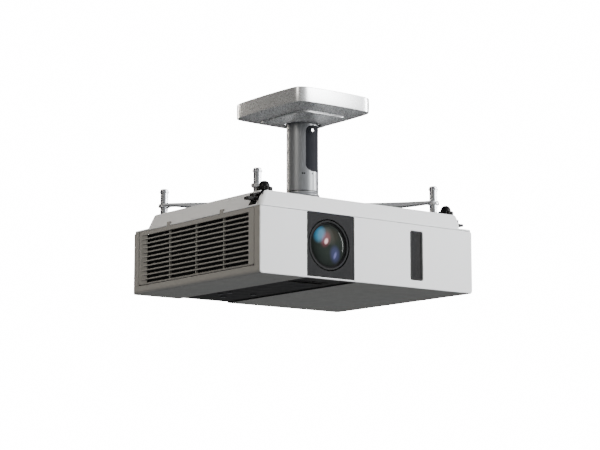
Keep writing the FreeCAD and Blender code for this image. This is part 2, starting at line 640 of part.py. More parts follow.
def base_tray():
    outside = cut("tray_outer", taper_solid("tray_outside", "0", "0"), corner_notch("tray_notch", "0"))
    hollow = cut("tray_inner", taper_solid("tray_hollow", "wall", "wall"), corner_notch("tray_notch_wall", "wall"))
    pockets = [foot_pocket(f"tray_pocket_{name}", side, "0") for name, side in FOOT_SIDES]
    notches = [box(f"tray_latch_notch_{k}", (f"-{SIDE} - 1", f"-{SIDE} + 3.1"),
                   (f"{side} * {LATCH_Y} - latch_half - door_gap", f"{side} * {LATCH_Y} + latch_half + door_gap"),
                   (f"{LIP_LOW} - 1", f"{LIP_TOP} + 4")) for k, side in enumerate((-1, 1))]
    holes = [rod(f"tray_post_hole_{k}", 2 + 0.05, f"{TAPER_TOP} - 9", f"{TAPER_TOP} + 1", post)
             for k, post in enumerate(POSTS.values())]
    bosses = [rod(f"tray_boss_{k}", 5, f"{TAPER_TOP} - 9", f"{TAPER_TOP} - 0.5", post)
              for k, post in enumerate(POSTS.values())]
    holes += [rod(f"tray_screw_hole_{k}", 1.4 + 0.05, f"{TAPER_TOP} - wall - 5", f"{TAPER_TOP} + 1", spot)
              for k, spot in enumerate(CASE_SCREWS)]
    for name, side in FOOT_SIDES:
        holes.append(rod(f"tray_foot_hole_{name}", "foot_stud + 0.2", f"{LIP_TOP} - 1", f"{TAPER_TOP} + 1",
                         (f"{side} * {FOOT_X}", f"-{FOOT_Y}")))
        holes.append(lever_opening(f"tray_lever_opening_{name}", side))
    shell = fuse("tray_shell", cut("tray_open", outside, hollow), *bosses)
    node(cut("tray_cut", shell, *pockets, *notches, *holes), "base_tray")


def case_screws():
    """Pan-head screws sunk in the tray's face."""
    screws = []
    for x, y in CASE_SCREWS:
        head = rod(f"case_screw_head_{len(screws)}", 3.2, f"{TAPER_TOP}", f"{TAPER_TOP} + 1.4", (x, y))
        shank = rod(f"case_screw_shank_{len(screws)}", 1.4, f"{TAPER_TOP} - wall - 4", f"{TAPER_TOP} + 0.4", (x, y))
        screws.append(fuse(f"case_screw_{len(screws)}", head, shank))
    node(group("case_screw_group", *screws), "case_screws")


def lowest_edge(side):
    """Picks the long outside edge along the bottom of a side panel."""
    def wanted(edge):
        middle = edge.CenterOfMass
        at_floor = abs(middle.z - number(CASE_LOW)) < 0.01
        return edge.Length > 100 and at_floor and abs(middle.x - side * number(SIDE)) < 0.01
    return wanted


def front_panel():
    plate = slab("front_plate", "XZ_Plane", span(SIDE), (CASE_LOW, CASE_TOP), (f"-{FRONT}", f"-{FRONT} + wall"), 3)
    round_edges(plate, "edge_round", lambda e: abs(e.CenterOfMass.y + number(FRONT)) < 0.01)
    depth = (f"-{FRONT} - 1", f"-{FRONT} + wall + 1")
    lens_gap = box("front_lens_gap", (f"{PANEL} - panel_half - seam", f"{PANEL} + panel_half + seam"),
                   depth, (f"{CASE_LOW} + 2.4", f"{CASE_TOP} + 1"))
    ir_gap = slab("front_ir_gap", "XZ_Plane", ("ir_left - seam", "ir_right + seam"),
                  (f"{CASE_LOW} + ir_low - seam", f"{IR_TOP} + seam"), depth, 3)
    node(cut("front_cut", plate, lens_gap, ir_gap), "front_panel")
    window = slab("ir_plate", "XZ_Plane", ("ir_left", "ir_right"), (f"{CASE_LOW} + ir_low", IR_TOP),
                  (f"-{FRONT} + 0.2", f"-{FRONT} + 2.2"), 2.7)
    node(window, "ir_window")


def lens_panel():
    plate = box("lens_plate", (f"{PANEL} - panel_half", f"{PANEL} + panel_half"),
                (f"-{FRONT} + 0.1", f"-{FRONT} + 4"), (f"{CASE_LOW} + 2.7", CASE_TOP))
    hole = rod("lens_plate_hole", LENS_HOLE, f"-{FRONT} - 1", f"-{FRONT} + 5", LENS, "y")
    node(cut("lens_plate_cut", plate, hole), "lens_panel")
    outer, depth, step = f"{LENS_HOLE} - 0.6", "15", "4"
    bezel = turned("bezel_turned", ((BARREL, "0"), (outer, "0"), (outer, depth), (f"{outer} - 1.2", depth),
                                    (f"{GLASS} + 3", step), (BARREL, step)))
    node(place(bezel, LENS[0], f"-{FRONT} + {depth} + 0.6", LENS[1], TO_FRONT), "lens_bezel")


def side_panel():
    """Left side: a frame round the filter door, open towards the tray."""
    plate = slab("left_plate", "YZ_Plane", (f"-{FRONT} + wall + seam", f"{FRONT} - wall - seam"), (CASE_LOW, CASE_TOP),
                 (f"-{SIDE}", f"-{SIDE} + wall"), 0.5)
    round_edges(plate, "edge_round", lowest_edge(-1))
    opening = box("left_opening", (f"-{SIDE} - 1", f"-{SIDE} + wall + 1"), span(f"{DOOR} + door_gap"),
                  (f"{CASE_LOW} + door_low - door_gap - 0.3", f"{CASE_TOP} + 1"))
    node(cut("left_cut", plate, opening), "left_panel")


def filter_door():
    """Louvred door: rows of slots in four columns, held by two latch tabs."""
    hinge_z = f"({CASE_LOW} + door_low + wall / 2)"
    body = slab("door_plate", "YZ_Plane", span(DOOR), (hinge_z, f"{CASE_TOP} - 0.2"),
                (f"-{SIDE}", f"-{SIDE} + wall"), 0.8)
    row = new_sketch(body, "door_slot_row", "YZ_Plane", f"-{SIDE} - 1")
    ribs = (f"-{DOOR} + 13.5", f"{DOOR} * -0.47 - 2.8", "-2.8", f"{DOOR} * 0.47 - 2.8", f"{DOOR} - 18")
    base = f"({CASE_LOW} + slot_base)"
    for start, end in zip(ribs[:-1], ribs[1:]):
        left, right = f"{start} + rib_half", f"{end} - rib_half"
        top = f"{base} + slot_height"
        polygon(row, ((left, base), (right, base), (right, top), (left, top)))
    slots = body.newObject("PartDesign::Pocket", "door_slots")
    slots.Profile = (row, [""])
    slots.Reversed = True
    bind(slots, "Length", "wall + 2")
    rows = body.newObject("PartDesign::LinearPattern", "door_slot_rows")
    rows.Originals = [slots]
    rows.Direction = ([o for o in body.Origin.OriginFeatures if o.Role == "Z_Axis"][0], [""])
    bind(rows, "Length", "case_height - slot_base - slot_top")
    bind(rows, "Occurrences", "slot_rows")
    body.Tip = rows
    tabs = [box(f"door_tab_{k}", (f"-{SIDE} + 0.2", f"-{SIDE} + 2.6"),
                (f"{side} * {LATCH_Y} - latch_half", f"{side} * {LATCH_Y} + latch_half"),
                (f"{CASE_TOP} - 1", f"{LIP_TOP} + 3.5")) for k, side in enumerate((-1, 1))]
    hinge = rod("door_hinge_bead", "wall / 2", f"-{DOOR}", DOOR, (f"-{SIDE} + wall / 2", hinge_z), "y")
    node(fuse("door_joined", body, hinge, *tabs), "filter_door")
    foam = box("filter_foam", (f"-{SIDE} + wall + 4", f"-{SIDE} + wall + 4 + filter_thick"),
               (f"-{DOOR} + 14", f"{DOOR} - 18"), (f"{CASE_LOW} + 14", f"{CASE_TOP} - 6"))
    node(foam, "air_filter")


def exhaust_panel():
    """Right side: a plain panel with a slotted air outlet."""
    plate = slab("right_plate", "YZ_Plane", (f"-{FRONT} + wall + seam", f"{FRONT} - wall - seam"), (CASE_LOW, CASE_TOP),
                 (f"{SIDE} - wall", SIDE), 0.5)
    round_edges(plate, "edge_round", lowest_edge(1))
    slots = []
    rows = 9
    for k in range(rows):
        z = f"({CASE_LOW} + 18 + {k} * (case_height - 36.7) / {rows - 1})"
        for y in ((f"-{FRONT} * 0.6", "-14"), ("-8", f"{FRONT} * 0.47")):
            slots.append(box(f"outlet_slot_{len(slots)}", (f"{SIDE} - wall - 1", f"{SIDE} + 1"), y, (z, f"{z} + 4")))
    node(cut("right_cut", plate, *slots), "right_panel")


# Sockets: name, distance in from the left side, half width, half height.
PORTS = tuple((name, f"(-{SIDE} + {inset})", half, tall) for name, inset, half, tall in (
    ("video_in", 53, 16, 8), ("video_out", 93, 16, 8), ("digital", 131, 8, 4), ("serial", 163, 16, 7),
    ("network", 195, 8, 7), ("sound_in", 221, 5, 5), ("sound_out", 239, 5, 5)))
PORT_Z = f"({CASE_TOP} - 18)"
INLET = (f"({SIDE} - 43)", f"({CASE_LOW} + 34)")


def rear_panel():
    plate = slab("rear_plate", "XZ_Plane", span(SIDE), (CASE_LOW, CASE_TOP), (f"{FRONT} - wall", FRONT), 3)
    round_edges(plate, "edge_round", lambda e: abs(e.CenterOfMass.y - number(FRONT)) < 0.01)
    depth = (f"{FRONT} - wall - 1", f"{FRONT} + 1")
    gaps = [box(f"port_gap_{name}", (f"{x} - {half} - seam", f"{x} + {half} + seam"), depth,
                (f"{PORT_Z} - {tall} - seam", f"{PORT_Z} + {tall} + seam")) for name, x, half, tall in PORTS]
    gaps.append(box("inlet_gap", (f"{INLET[0]} - 14 - seam", f"{INLET[0]} + 14 + seam"), depth,
                    (f"{INLET[1]} - 11 - seam", f"{INLET[1]} + 11 + seam")))
    gaps.append(box("band_gap", ("-band_left - seam", "-band_right + seam"), depth,
                    (f"{CASE_LOW} - 1", f"{CASE_LOW} + band_depth + 1.6")))
    node(cut("rear_cut", plate, *gaps), "rear_panel")
    sockets = []
    for name, x, half, tall in PORTS:
        shell = box(f"port_{name}", (f"{x} - {half}", f"{x} + {half}"), (f"{FRONT} - 14", f"{FRONT} - 0.4"),
                    (f"{PORT_Z} - {tall}", f"{PORT_Z} + {tall}"))
        well = box(f"port_well_{name}", (f"{x} - {half} + 1.5", f"{x} + {half} - 1.5"), (f"{FRONT} - 9", f"{FRONT} + 1"),
                   (f"{PORT_Z} - {tall} + 1.5", f"{PORT_Z} + {tall} - 1.5"))
        sockets.append(cut(f"port_cut_{name}", shell, well))
    node(group("port_group", *sockets), "rear_ports")


def ac_inlet():
    """Three-pin mains inlet with a cavity for the lead's connector."""
    x, z = INLET
    shell = box("inlet_shell", (f"{x} - 14", f"{x} + 14"), (f"{FRONT} - 22", f"{FRONT} - 0.3"), (f"{z} - 11", f"{z} + 11"))
    well = box("inlet_well", (f"{x} - 12", f"{x} + 12"), (f"{FRONT} - 17", f"{FRONT} + 1"), (f"{z} - 8.2", f"{z} + 8.2"))
    pins = [box(f"inlet_pin_{k}", (f"{x} + {dx} - 1", f"{x} + {dx} + 1"), (f"{FRONT} - 18", f"{FRONT} - 5"),
                (f"{z} + {dz} - 2", f"{z} + {dz} + 2")) for k, (dx, dz) in enumerate(((-7, -1), (0, 3), (7, -1)))]
    node(fuse("inlet_joined", cut("inlet_cut", shell, well), *pins), "ac_inlet")


def top_cover():
    """The real top, facing the floor, with a sunk band for keys and lens levers."""
    inner_x, inner_y = f"{SIDE} - wall - seam", f"{FRONT} - wall - seam"
    plate = box("cover_plate", span(inner_x), span(inner_y), (CASE_LOW, f"{CASE_LOW} + wall"))
    band = box("cover_band_gap", ("-band_left - seam", "-band_right + seam"),
               (f"{BAND_FRONT} - seam", f"{inner_y} + 1"), (f"{CASE_LOW} - 1", f"{CASE_LOW} + wall + 1"))
    node(cut("cover_plate_cut", plate, band), "top_cover")
    floor = (f"{CASE_LOW} + band_depth", f"{CASE_LOW} + band_depth + 1.5")
    tray = box("band_block", ("-band_left", "-band_right"), (BAND_FRONT, f"{FRONT} - 0.2"),
               (f"{CASE_LOW} + 0.3", floor[1]))
    recess = box("band_recess", ("-band_left + 1.2", "-band_right - 1.2"), (f"{BAND_FRONT} + 1.2", f"{FRONT} + 1"),
                 (f"{CASE_LOW} - 1", floor[0]))
    slots = [box(f"lever_slot_{name}", (f"{LENS[0]} - 34", f"{LENS[0]} + 34"), (f"{near} - 1", f"{far} + 1"),
                 (f"{floor[0]} - 1", f"{floor[1]} + 1")) for name, near, far, _, _ in LEVERS]
    holes = [rod(f"key_hole_{name}", "key_radius + 0.3", f"{floor[0]} - 1", f"{floor[1]} + 1", (x, y))
             for name, x, y in KEYS]
    node(cut("band_cut", tray, recess, *slots, *holes), "control_band")


KEYS = (("power", -95, 60), ("source", -95, 85), ("menu", -50, 60), ("select", -72, 110))


def keys():
    for name, x, y in KEYS:
        floor = f"({CASE_LOW} + band_depth)"
        cap = turned(f"key_{name}_cap", (("0", "-1.6"), ("key_radius - 0.6", "-1.6"), ("key_radius", "-1"),
                                         ("key_radius", "1.8"), ("key_radius + 1", "1.8"), ("key_radius + 1", "2.8"), ("0", "2.8")))
        node(place(cap, x, y, floor), f"key_{name}")


# ---- lens and its two lever rings
# Levers: name, front and rear of the tab, half its angle and how far round it sits, in degrees.
LEVERS = (("focus", f"(-{FRONT} + 56)", f"(-{FRONT} + 64)", 16.4, 6.2),
          ("zoom", f"(-{FRONT} + 45)", f"(-{FRONT} + 47)", 13.5, 20))


def lens():
    bore, length = f"{BARREL} - barrel_wall", "84"
    barrel = turned("barrel_turned", ((bore, "0"), (BARREL, "0"), (BARREL, length), (bore, length)))
    node(place(barrel, LENS[0], f"-{FRONT} + 100", LENS[1], TO_FRONT), "lens_barrel")
    rim, outer, depth = f"{GLASS} + 0.1", f"{bore} - 0.1", "22"
    cell = turned("cell_turned", ((rim, "0"), (outer, "0"), (outer, depth), (rim, depth)))
    node(place(cell, LENS[0], f"-{FRONT} + 25", LENS[1], TO_FRONT), "lens_cell")
    ball = doc.addObject("Part::Sphere", "glass_ball")
    bind(ball, "Radius", f"{GLASS} * 1.6")
    place(ball, LENS[0], f"-{FRONT} + glass_depth + {GLASS} * 1.6", LENS[1])
    disc = rod("glass_disc", GLASS, f"-{FRONT} + glass_depth - 1", f"-{FRONT} + glass_depth + 14", LENS, "y")
    node(common("glass_common", ball, disc), "front_glass")
    for name, front, rear, half, offset in LEVERS:
        hoop = ring(f"{name}_hoop", f"{BARREL} + 5", f"{BARREL} + 0.1", f"{front} - 1", f"{rear} + 1", LENS, "y")
        sector = doc.addObject("Part::Cylinder", f"{name}_tab_sector")
        bind(sector, "Radius", f"{LENS[1]} - {CASE_LOW} - 0.6")
        bind(sector, "Height", f"{rear} - {front}")
        bind(sector, "Angle", 2 * half)
        start = Rotation(Vector(1, 0, 0), 90) * Rotation(Vector(0, 0, 1), -90 - half + offset)
        sector.Placement = Placement(Vector(), start)
        bind(sector, "Placement.Base.x", LENS[0])
        bind(sector, "Placement.Base.y", rear)
        bind(sector, "Placement.Base.z", LENS[1])
        core = rod(f"{name}_tab_core", f"{BARREL} + 4.5", f"{front} - 1", f"{rear} + 1", LENS, "y")
        node(fuse(f"{name}_joined", hoop, cut(f"{name}_tab", sector, core)), f"{name}_ring")


# ---- what is inside the case

def insides():
    low, high = f"({CASE_LOW} + 10)", f"({CASE_TOP} - 24)"
    lamp_left, lamp_front = f"({SIDE} - 183)", f"({FRONT} - 136)"
    engine = box("engine_block", (f"-{SIDE} + 65.6", f"{lamp_left} - 25.4"), (f"-{FRONT} + 100.3", f"{FRONT} - 96"),
                 (low, high))
    node(engine, "light_engine")
    lamp = box("lamp_block", (lamp_left, f"{lamp_left} + 80"), (lamp_front, f"{FRONT} - 46"), (low, high))
    mouth = rod("lamp_mouth", f"({high} - {low}) / 3", f"{lamp_front} - 1", f"{lamp_front} + 40",
                (f"{lamp_left} + 40", f"({low} + {high}) / 2"), "y")
    node(cut("lamp_cut", lamp, mouth), "lamp_module")
    supply = box("supply_block", (lamp_left, f"{lamp_left} + 100"), (f"-{FRONT} + 16", f"{lamp_front} - 20"),
                 (f"{low} + 2", f"{high} - 14"))
    node(supply, "power_supply")
    board_x, board_y = (f"(-{SIDE} + 38)", f"({SIDE} - 83)"), (f"(-{FRONT} + 106)", f"({FRONT} - 16)")
    board = box("board_plate", board_x, board_y, (f"{CASE_TOP} - 8.6", f"{CASE_TOP} - 7"))
    chips = []
    for across, along in ((0.16, 0.38), (0.37, 0.57), (0.58, 0.29), (0.75, 0.62)):
        x = f"({board_x[0]} + {across} * ({board_x[1]} - {board_x[0]}))"
        y = f"({board_y[0]} + {along} * ({board_y[1]} - {board_y[0]}))"
        chips.append(box(f"board_chip_{len(chips)}", (x, f"{x} + 30"), (y, f"{y} + 30"),
                         (f"{CASE_TOP} - 12", f"{CASE_TOP} - 8")))
    node(fuse("board_joined", board, *chips), "main_board")


BLADES = 7
FAN_HALF = "(case_height * fan_ratio)"
FAN_Z = f"({CASE_LOW} + case_height / 2 - 2.35)"


def fan_frame(name, low, high, y):
    """A square frame with a round duct and four struts that carry the motor."""
    frame = slab(f"{name}_frame", "YZ_Plane", (f"{y} - {FAN_HALF}", f"{y} + {FAN_HALF}"),
                 (f"{FAN_Z} - {FAN_HALF}", f"{FAN_Z} + {FAN_HALF}"), (low, high), 4)
    duct = rod(f"{name}_duct", f"{FAN_HALF} - blade_gap + 2", f"{low} - 1", f"{high} + 1", (y, FAN_Z), "x")
    motor = rod(f"{name}_motor", "hub_core", f"{high} - 5", high, (y, FAN_Z), "x")
    strut_x, reach = (f"{high} - 4", f"{high} - 1"), f"({FAN_HALF} - 1)"
    upright = box(f"{name}_strut_upright", strut_x, (f"{y} - 2", f"{y} + 2"), (f"{FAN_Z} - {reach}", f"{FAN_Z} + {reach}"))
    level = box(f"{name}_strut_level", strut_x, (f"{y} - {reach}", f"{y} + {reach}"), (f"{FAN_Z} - 2", f"{FAN_Z} + 2"))
    return fuse(f"{name}_fan_frame", cut(f"{name}_frame_cut", frame, duct), motor, upright, level)


def rotor_blade(name, low, high, y, k):
    """One flat blade, twisted on its own radius and turned to its place round the hub."""
    blade = doc.addObject("Part::Box", f"{name}_blade_{k}")
    bind(blade, "Length", "fan_thick - 11")
    bind(blade, "Width", "2")
    bind(blade, "Height", f"{FAN_HALF} - blade_gap - hub_core + 1")
    step = 360 / BLADES * k
    blade.Placement = Placement(Vector(), Rotation(Vector(1, 0, 0), step) * Rotation(Vector(0, 0, 1), 35))
    angle = math.radians(step)
    bind(blade, "Placement.Base.x", f"({low} + {high}) / 2 - 5")
    bind(blade, "Placement.Base.y", f"{y} - (hub_core - 1) * {math.sin(angle):.6f}")
    bind(blade, "Placement.Base.z", f"{FAN_Z} + (hub_core - 1) * {math.cos(angle):.6f}")
    return blade


def fans():
    places = (("intake", f"(-{SIDE} + wall + 12 + filter_thick)", "-10"),
              ("outlet", f"({SIDE} - wall - 6 - fan_thick)", "-5"))
    frames = []
    for name, low, y in places:
        high = f"({low} + fan_thick)"
        frames.append(fan_frame(name, low, high, y))
        run = (f"{low} + 2", f"{high} - 6")
        core = rod(f"{name}_core", "hub_core", *run, (y, FAN_Z), "x")
        blades = [rotor_blade(name, low, high, y, k) for k in range(BLADES)]
        swept = rod(f"{name}_sweep", f"{FAN_HALF} - blade_gap", *run, (y, FAN_Z), "x")
        node(common(f"{name}_rotor_common", fuse(f"{name}_rotor_joined", core, *blades), swept), f"{name}_rotor")
    node(group("fan_frame_group", *frames), "fan_frames")


# ---- adjustable front feet, pointing at the ceiling

def feet():
    housings = []
    for name, side in FOOT_SIDES:
        x = f"{side} * {FOOT_X}"
        spot = (x, f"-{FOOT_Y}")
        block = common(f"foot_block_{name}", foot_pocket(f"foot_fill_{name}", side, "seam"),
                       taper_solid(f"foot_outline_{name}", "0.8", "0.3"))
        bore = rod(f"foot_bore_{name}", "foot_stud + 0.1", f"{LIP_TOP} - 1", f"{TAPER_TOP} + 2", spot)
        housings.append(cut(f"foot_housing_{name}", block, bore, lever_opening(f"lever_opening_{name}", side)))
        leg = turned(f"leg_{name}", (("0", "-18"), ("foot_stud", "-18"), ("foot_stud", "6.2"), ("foot_dome_radius", "6.2"),
                                     ("foot_dome_radius", "9"), ("foot_dome_radius - 1.2", "12.4"),
                                     ("foot_dome_radius - 4", "foot_tip - 0.7"), ("0", "foot_tip")))
        node(place(leg, *spot, TAPER_TOP), f"foot_leg_{name}")
        foot_ring(name, x)
        lever(name, side)
    node(group("foot_housing_group", *housings), "foot_housings")


def foot_ring(name, x):
    """The scalloped ring that screws the leg in and out."""
    body = new_body(f"ring_{name}")
    outline = new_sketch(body, f"ring_outline_{name}", "XY_Plane", 0)
    circle(outline, 0, 0, "foot_ring_radius")
    circle(outline, 0, 0, "foot_stud + 0.1")
    pad(body, outline, "foot_ring_height")
    scallop = new_sketch(body, f"ring_scallop_{name}", "XY_Plane", "foot_ring_height + 1")
    circle(scallop, "foot_ring_radius + 0.8", 0, 1.9)
    notch = body.newObject("PartDesign::Pocket", f"ring_notch_{name}")
    notch.Profile = (scallop, [""])
    bind(notch, "Length", "foot_ring_height + 2")
    polar(body, notch, 12)
    node(place(body, x, f"-{FOOT_Y}", f"{TAPER_TOP} + 0.4"), f"foot_ring_{name}")


def lever(name, side):
    """L-shaped release lever on a pivot pin, sticking out of the housing's side."""
    y = (f"-{FOOT_Y} - 5", f"-{FOOT_Y} + 5")
    pivot_x, pivot_z = f"{side} * ({FOOT_X} + 8.5)", f"{TAPER_TOP} - 6.75"
    pivot = rod(f"lever_pivot_{name}", 1.8, *y, (pivot_x, pivot_z), "y")
    bar = box(f"lever_bar_{name}", outward(side, f"{FOOT_X} + 8.5", f"{SIDE} - 5.5"), y,
              (f"{TAPER_TOP} - 8", f"{TAPER_TOP} - 5.5"))
    stem = box(f"lever_stem_{name}", outward(side, f"{SIDE} - 8", f"{SIDE} - 5.5"), y,
               (f"{TAPER_TOP} - 14", f"{TAPER_TOP} - 6"))
    tab = box(f"lever_tab_{name}", outward(side, f"{SIDE} - 8", f"{SIDE} + 4.5"), y,
              (f"{TAPER_TOP} - 15", f"{TAPER_TOP} - 11"))
    node(fuse(f"lever_joined_{name}", pivot, bar, stem, tab), f"foot_lever_{name}")


def main():
    anchor_plate()
    column()
    cable_cover()
    column_screws()
    ceiling_cover()
    swivel_head()
    tilt_block()
    hub()
    arms()
    posts()
    base_tray()
    case_screws()
    front_panel()
    lens_panel()
    side_panel()
    filter_door()
    exhaust_panel()
    rear_panel()
    ac_inlet()
    top_cover()
    keys()
    lens()
    insides()
    fans()
    feet()
    doc.recompute()


def check_document():
    """Stops if any object failed or any finished piece isn't a sound solid."""
    for item in doc.Objects:
        for word in ("Invalid", "Error"):
            if word in item.State:
                raise RuntimeError(f"{item.Name} ({item.Label}) failed: {item.State}")
    for piece in NODES:
        shape = piece.Shape
        if shape.isNull() or not shape.isValid() or not shape.Solids or shape.Volume <= 0:
            raise RuntimeError(f"{piece.Label} is not a sound solid")


def export():
    os.makedirs("parts", exist_ok=True)
    for piece in NODES:
        piece.Shape.exportStep(f"parts/{piece.Label}.step")


main()
check_document()
export()
print(f"{len(NODES)} nodes written")
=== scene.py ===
import json
import math

import bpy
from mathutils import Matrix, Vector


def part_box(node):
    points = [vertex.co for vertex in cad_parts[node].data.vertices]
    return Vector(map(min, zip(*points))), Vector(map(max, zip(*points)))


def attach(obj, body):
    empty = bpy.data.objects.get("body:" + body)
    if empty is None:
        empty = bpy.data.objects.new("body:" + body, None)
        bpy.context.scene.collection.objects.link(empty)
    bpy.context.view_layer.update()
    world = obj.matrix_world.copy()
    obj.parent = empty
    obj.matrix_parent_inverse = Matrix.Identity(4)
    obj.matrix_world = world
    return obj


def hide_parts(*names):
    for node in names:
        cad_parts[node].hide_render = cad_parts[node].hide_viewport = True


# Ceiling-hung video projector, dressed over its CAD frame.  Metres, row frame:
# the origin is on the ceiling, +Z is up and the lens looks towards -Y.
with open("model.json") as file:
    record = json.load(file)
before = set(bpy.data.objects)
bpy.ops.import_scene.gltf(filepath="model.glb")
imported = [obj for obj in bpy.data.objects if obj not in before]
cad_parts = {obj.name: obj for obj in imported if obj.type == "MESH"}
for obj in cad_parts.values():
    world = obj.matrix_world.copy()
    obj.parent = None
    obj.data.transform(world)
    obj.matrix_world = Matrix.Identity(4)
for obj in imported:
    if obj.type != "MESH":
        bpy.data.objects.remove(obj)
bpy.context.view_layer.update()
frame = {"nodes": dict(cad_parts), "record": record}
MM = 0.001

# Sizes that several pieces share.
TRAY_LIP = 2.8 * MM         # thickness of the tray's flat lip
PANEL_GAP = 0.35 * MM       # seam round a part let into a panel
COVER_WALL = 2.2 * MM       # shell of the ceiling cover


# ---- places read from the frame

def spans(node):
    """A node's box as three (low, high) pairs."""
    low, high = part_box(node)
    return tuple((low[k], high[k]) for k in range(3))


def middle(pair):
    return (pair[0] + pair[1]) / 2


def middle_of(node):
    return tuple(middle(pair) for pair in spans(node))


def widened(pair, gap):
    return (pair[0] - gap, pair[1] + gap)


def glass_radius():
    across = spans("front_glass")[0]
    return (across[1] - across[0]) / 2


# ---- mesh tools

def finish_mesh(mesh, sharp=35):
    mesh.validate()
    mesh.shade_smooth()
    mesh.set_sharp_from_angle(angle=math.radians(sharp))


def add_object(name, mesh, material, body):
    """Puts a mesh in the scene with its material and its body."""
    piece = bpy.data.objects.new(name, mesh)
    bpy.context.scene.collection.objects.link(piece)
    if not mesh.materials:
        mesh.materials.append(material)
    weighted = piece.modifiers.new("flat_faces", "WEIGHTED_NORMAL")
    weighted.keep_sharp = True
    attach(piece, body)
    return piece


def mesh_from(name, points, faces, sharp=35):
    mesh = bpy.data.meshes.new(name)
    mesh.from_pydata([tuple(p) for p in points], [], faces)
    finish_mesh(mesh, sharp)
    return mesh


def joined(name, meshes, sharp=35):
    """One mesh out of several, each with its own vertices."""
    points, faces = [], []
    for mesh in meshes:
        start = len(points)
        points += [v.co.copy() for v in mesh.vertices]
        faces += [[start + k for k in face.vertices] for face in mesh.polygons]
    return mesh_from(name, points, faces, sharp)


def baked(mesh, *modifiers):
    """The mesh after modifiers given as (type, {property: value})."""
    holder = bpy.data.objects.new("holder", mesh)
    bpy.context.scene.collection.objects.link(holder)
    for kind, settings in modifiers:
        modifier = holder.modifiers.new(kind.lower(), kind)
        for prop, value in settings.items():
            setattr(modifier, prop, value)
    bpy.context.view_layer.update()
    evaluated = holder.evaluated_get(bpy.context.evaluated_depsgraph_get())
    result = bpy.data.meshes.new_from_object(evaluated)
    bpy.data.objects.remove(holder)
    return result


def bevelled(mesh, width, segments=3, angle=30):
    result = baked(mesh, ("BEVEL", {"width": width, "segments": segments, "limit_method": "ANGLE",
                                    "angle_limit": math.radians(angle), "use_clamp_overlap": True}))
    finish_mesh(result)
    return result


def cut_away(mesh, cutters):
    """The mesh less each cutter mesh."""
    for cutter in cutters:
        tool = bpy.data.objects.new("cutter", cutter)
        bpy.context.scene.collection.objects.link(tool)
        mesh = baked(mesh, ("BOOLEAN", {"operation": "DIFFERENCE", "object": tool, "solver": "EXACT"}))
        bpy.data.objects.remove(tool)
    return mesh


def block(x, y, z):
    """A plain box mesh, for cutting and as a blank for bevels."""
    points = [(a, b, c) for a in x for b in y for c in z]
    faces = [(0, 1, 3, 2), (4, 6, 7, 5), (0, 4, 5, 1), (2, 3, 7, 6), (0, 2, 6, 4), (1, 5, 7, 3)]
    return mesh_from("block", points, faces)


def rounded_block(x, y, z, width=0.6 * MM, segments=3):
    return bevelled(block(x, y, z), width, segments)


def rounded_outline(x, y, radius, steps=8):
    """Points round a rectangle with round corners, anticlockwise from the far right corner.
    radius may be one number or four, for far right, far left, near left and near right."""
    radii = radius if isinstance(radius, tuple) else (radius,) * 4
    points = []
    for k, (side, end) in enumerate(((1, 1), (0, 1), (0, 0), (1, 0))):
        r = radii[k]
        cx = x[side] - r if side else x[side] + r
        cy = y[end] - r if end else y[end] + r
        for step in range(steps + 1):
            angle = math.pi / 2 * (k + step / steps)
            points.append((cx + r * math.cos(angle), cy + r * math.sin(angle)))
    return points


def bulged_outline(half_x, half_y, power, steps, bulge=0.045):
    """A rectangle with tight corners whose sides curve outwards, its corners drawn in by bulge."""
    points = []
    for step in range(steps):
        angle = 2 * math.pi * step / steps
        c, s = math.cos(angle), math.sin(angle)
        scale = (abs(c) ** power + abs(s) ** power) ** (-1 / power)
        u, v = c * scale, s * scale
        points.append((half_x * u * (1 - bulge * v * v), half_y * v * (1 - bulge * u * u)))
    return points


def circle(centre, radius, steps, turn=1):
    """Points round a circle, anticlockwise, or clockwise with turn=-1."""
    angles = [2 * math.pi * k / steps for k in range(steps)]
    return [(centre[0] + radius * math.cos(a), centre[1] + turn * radius * math.sin(a)) for a in angles]


def opening(u, v, radius, steps=8):
    """A rounded hole's outline, which runs the other way round from its plate's."""
    return list(reversed(rounded_outline(u, v, radius, steps)))


def at_height(outline, z):
    return [(u, v, z) for u, v in outline]


def loft(name, rings, cap_first=True, cap_last=True, sharp=35):
    """Bridges closed rings of equal count, in order."""
    count = len(rings[0])
    points = [p for ring in rings for p in ring]
    faces = []
    for k in range(len(rings) - 1):
        for j in range(count):
            a, b = k * count + j, k * count + (j + 1) % count
            faces.append((a, b, b + count, a + count))
    if cap_first:
        faces.append(tuple(reversed(range(count))))
    if cap_last:
        faces.append(tuple(range((len(rings) - 1) * count, len(rings) * count)))
    return mesh_from(name, points, faces, sharp)


def closed_loft(name, rings, sharp=35):
    """A shell that closes on its first ring."""
    count = len(rings[0])
    points = [p for ring in rings for p in ring]
    faces = []
    for k in range(len(rings)):
        below, above = k * count, ((k + 1) % len(rings)) * count
        for j in range(count):
            following = (j + 1) % count
            faces.append((below + j, above + j, above + following, below + following))
    return mesh_from(name, points, faces, sharp)


def lathe(name, profile, centre, axis="z", steps=96, closed=True):
    """Turns (radius, along) points about an axis through centre."""
    turn = {"x": Matrix.Rotation(math.pi / 2, 3, "Y"), "y": Matrix.Rotation(-math.pi / 2, 3, "X"),
            "z": Matrix.Identity(3)}[axis]
    points, faces = [], []
    for radius, along in profile:
        for k in range(steps):
            angle = 2 * math.pi * k / steps
            spoke = Vector((radius * math.cos(angle), radius * math.sin(angle), along))
            points.append(Vector(centre) + turn @ spoke)
    count = len(profile)
    for k in range(count if closed else count - 1):
        for j in range(steps):
            a, b = k * steps + j, k * steps + (j + 1) % steps
            c = ((k + 1) % count) * steps
            faces.append((a, b, c + (j + 1) % steps, c + j))
    return mesh_from(name, points, faces)


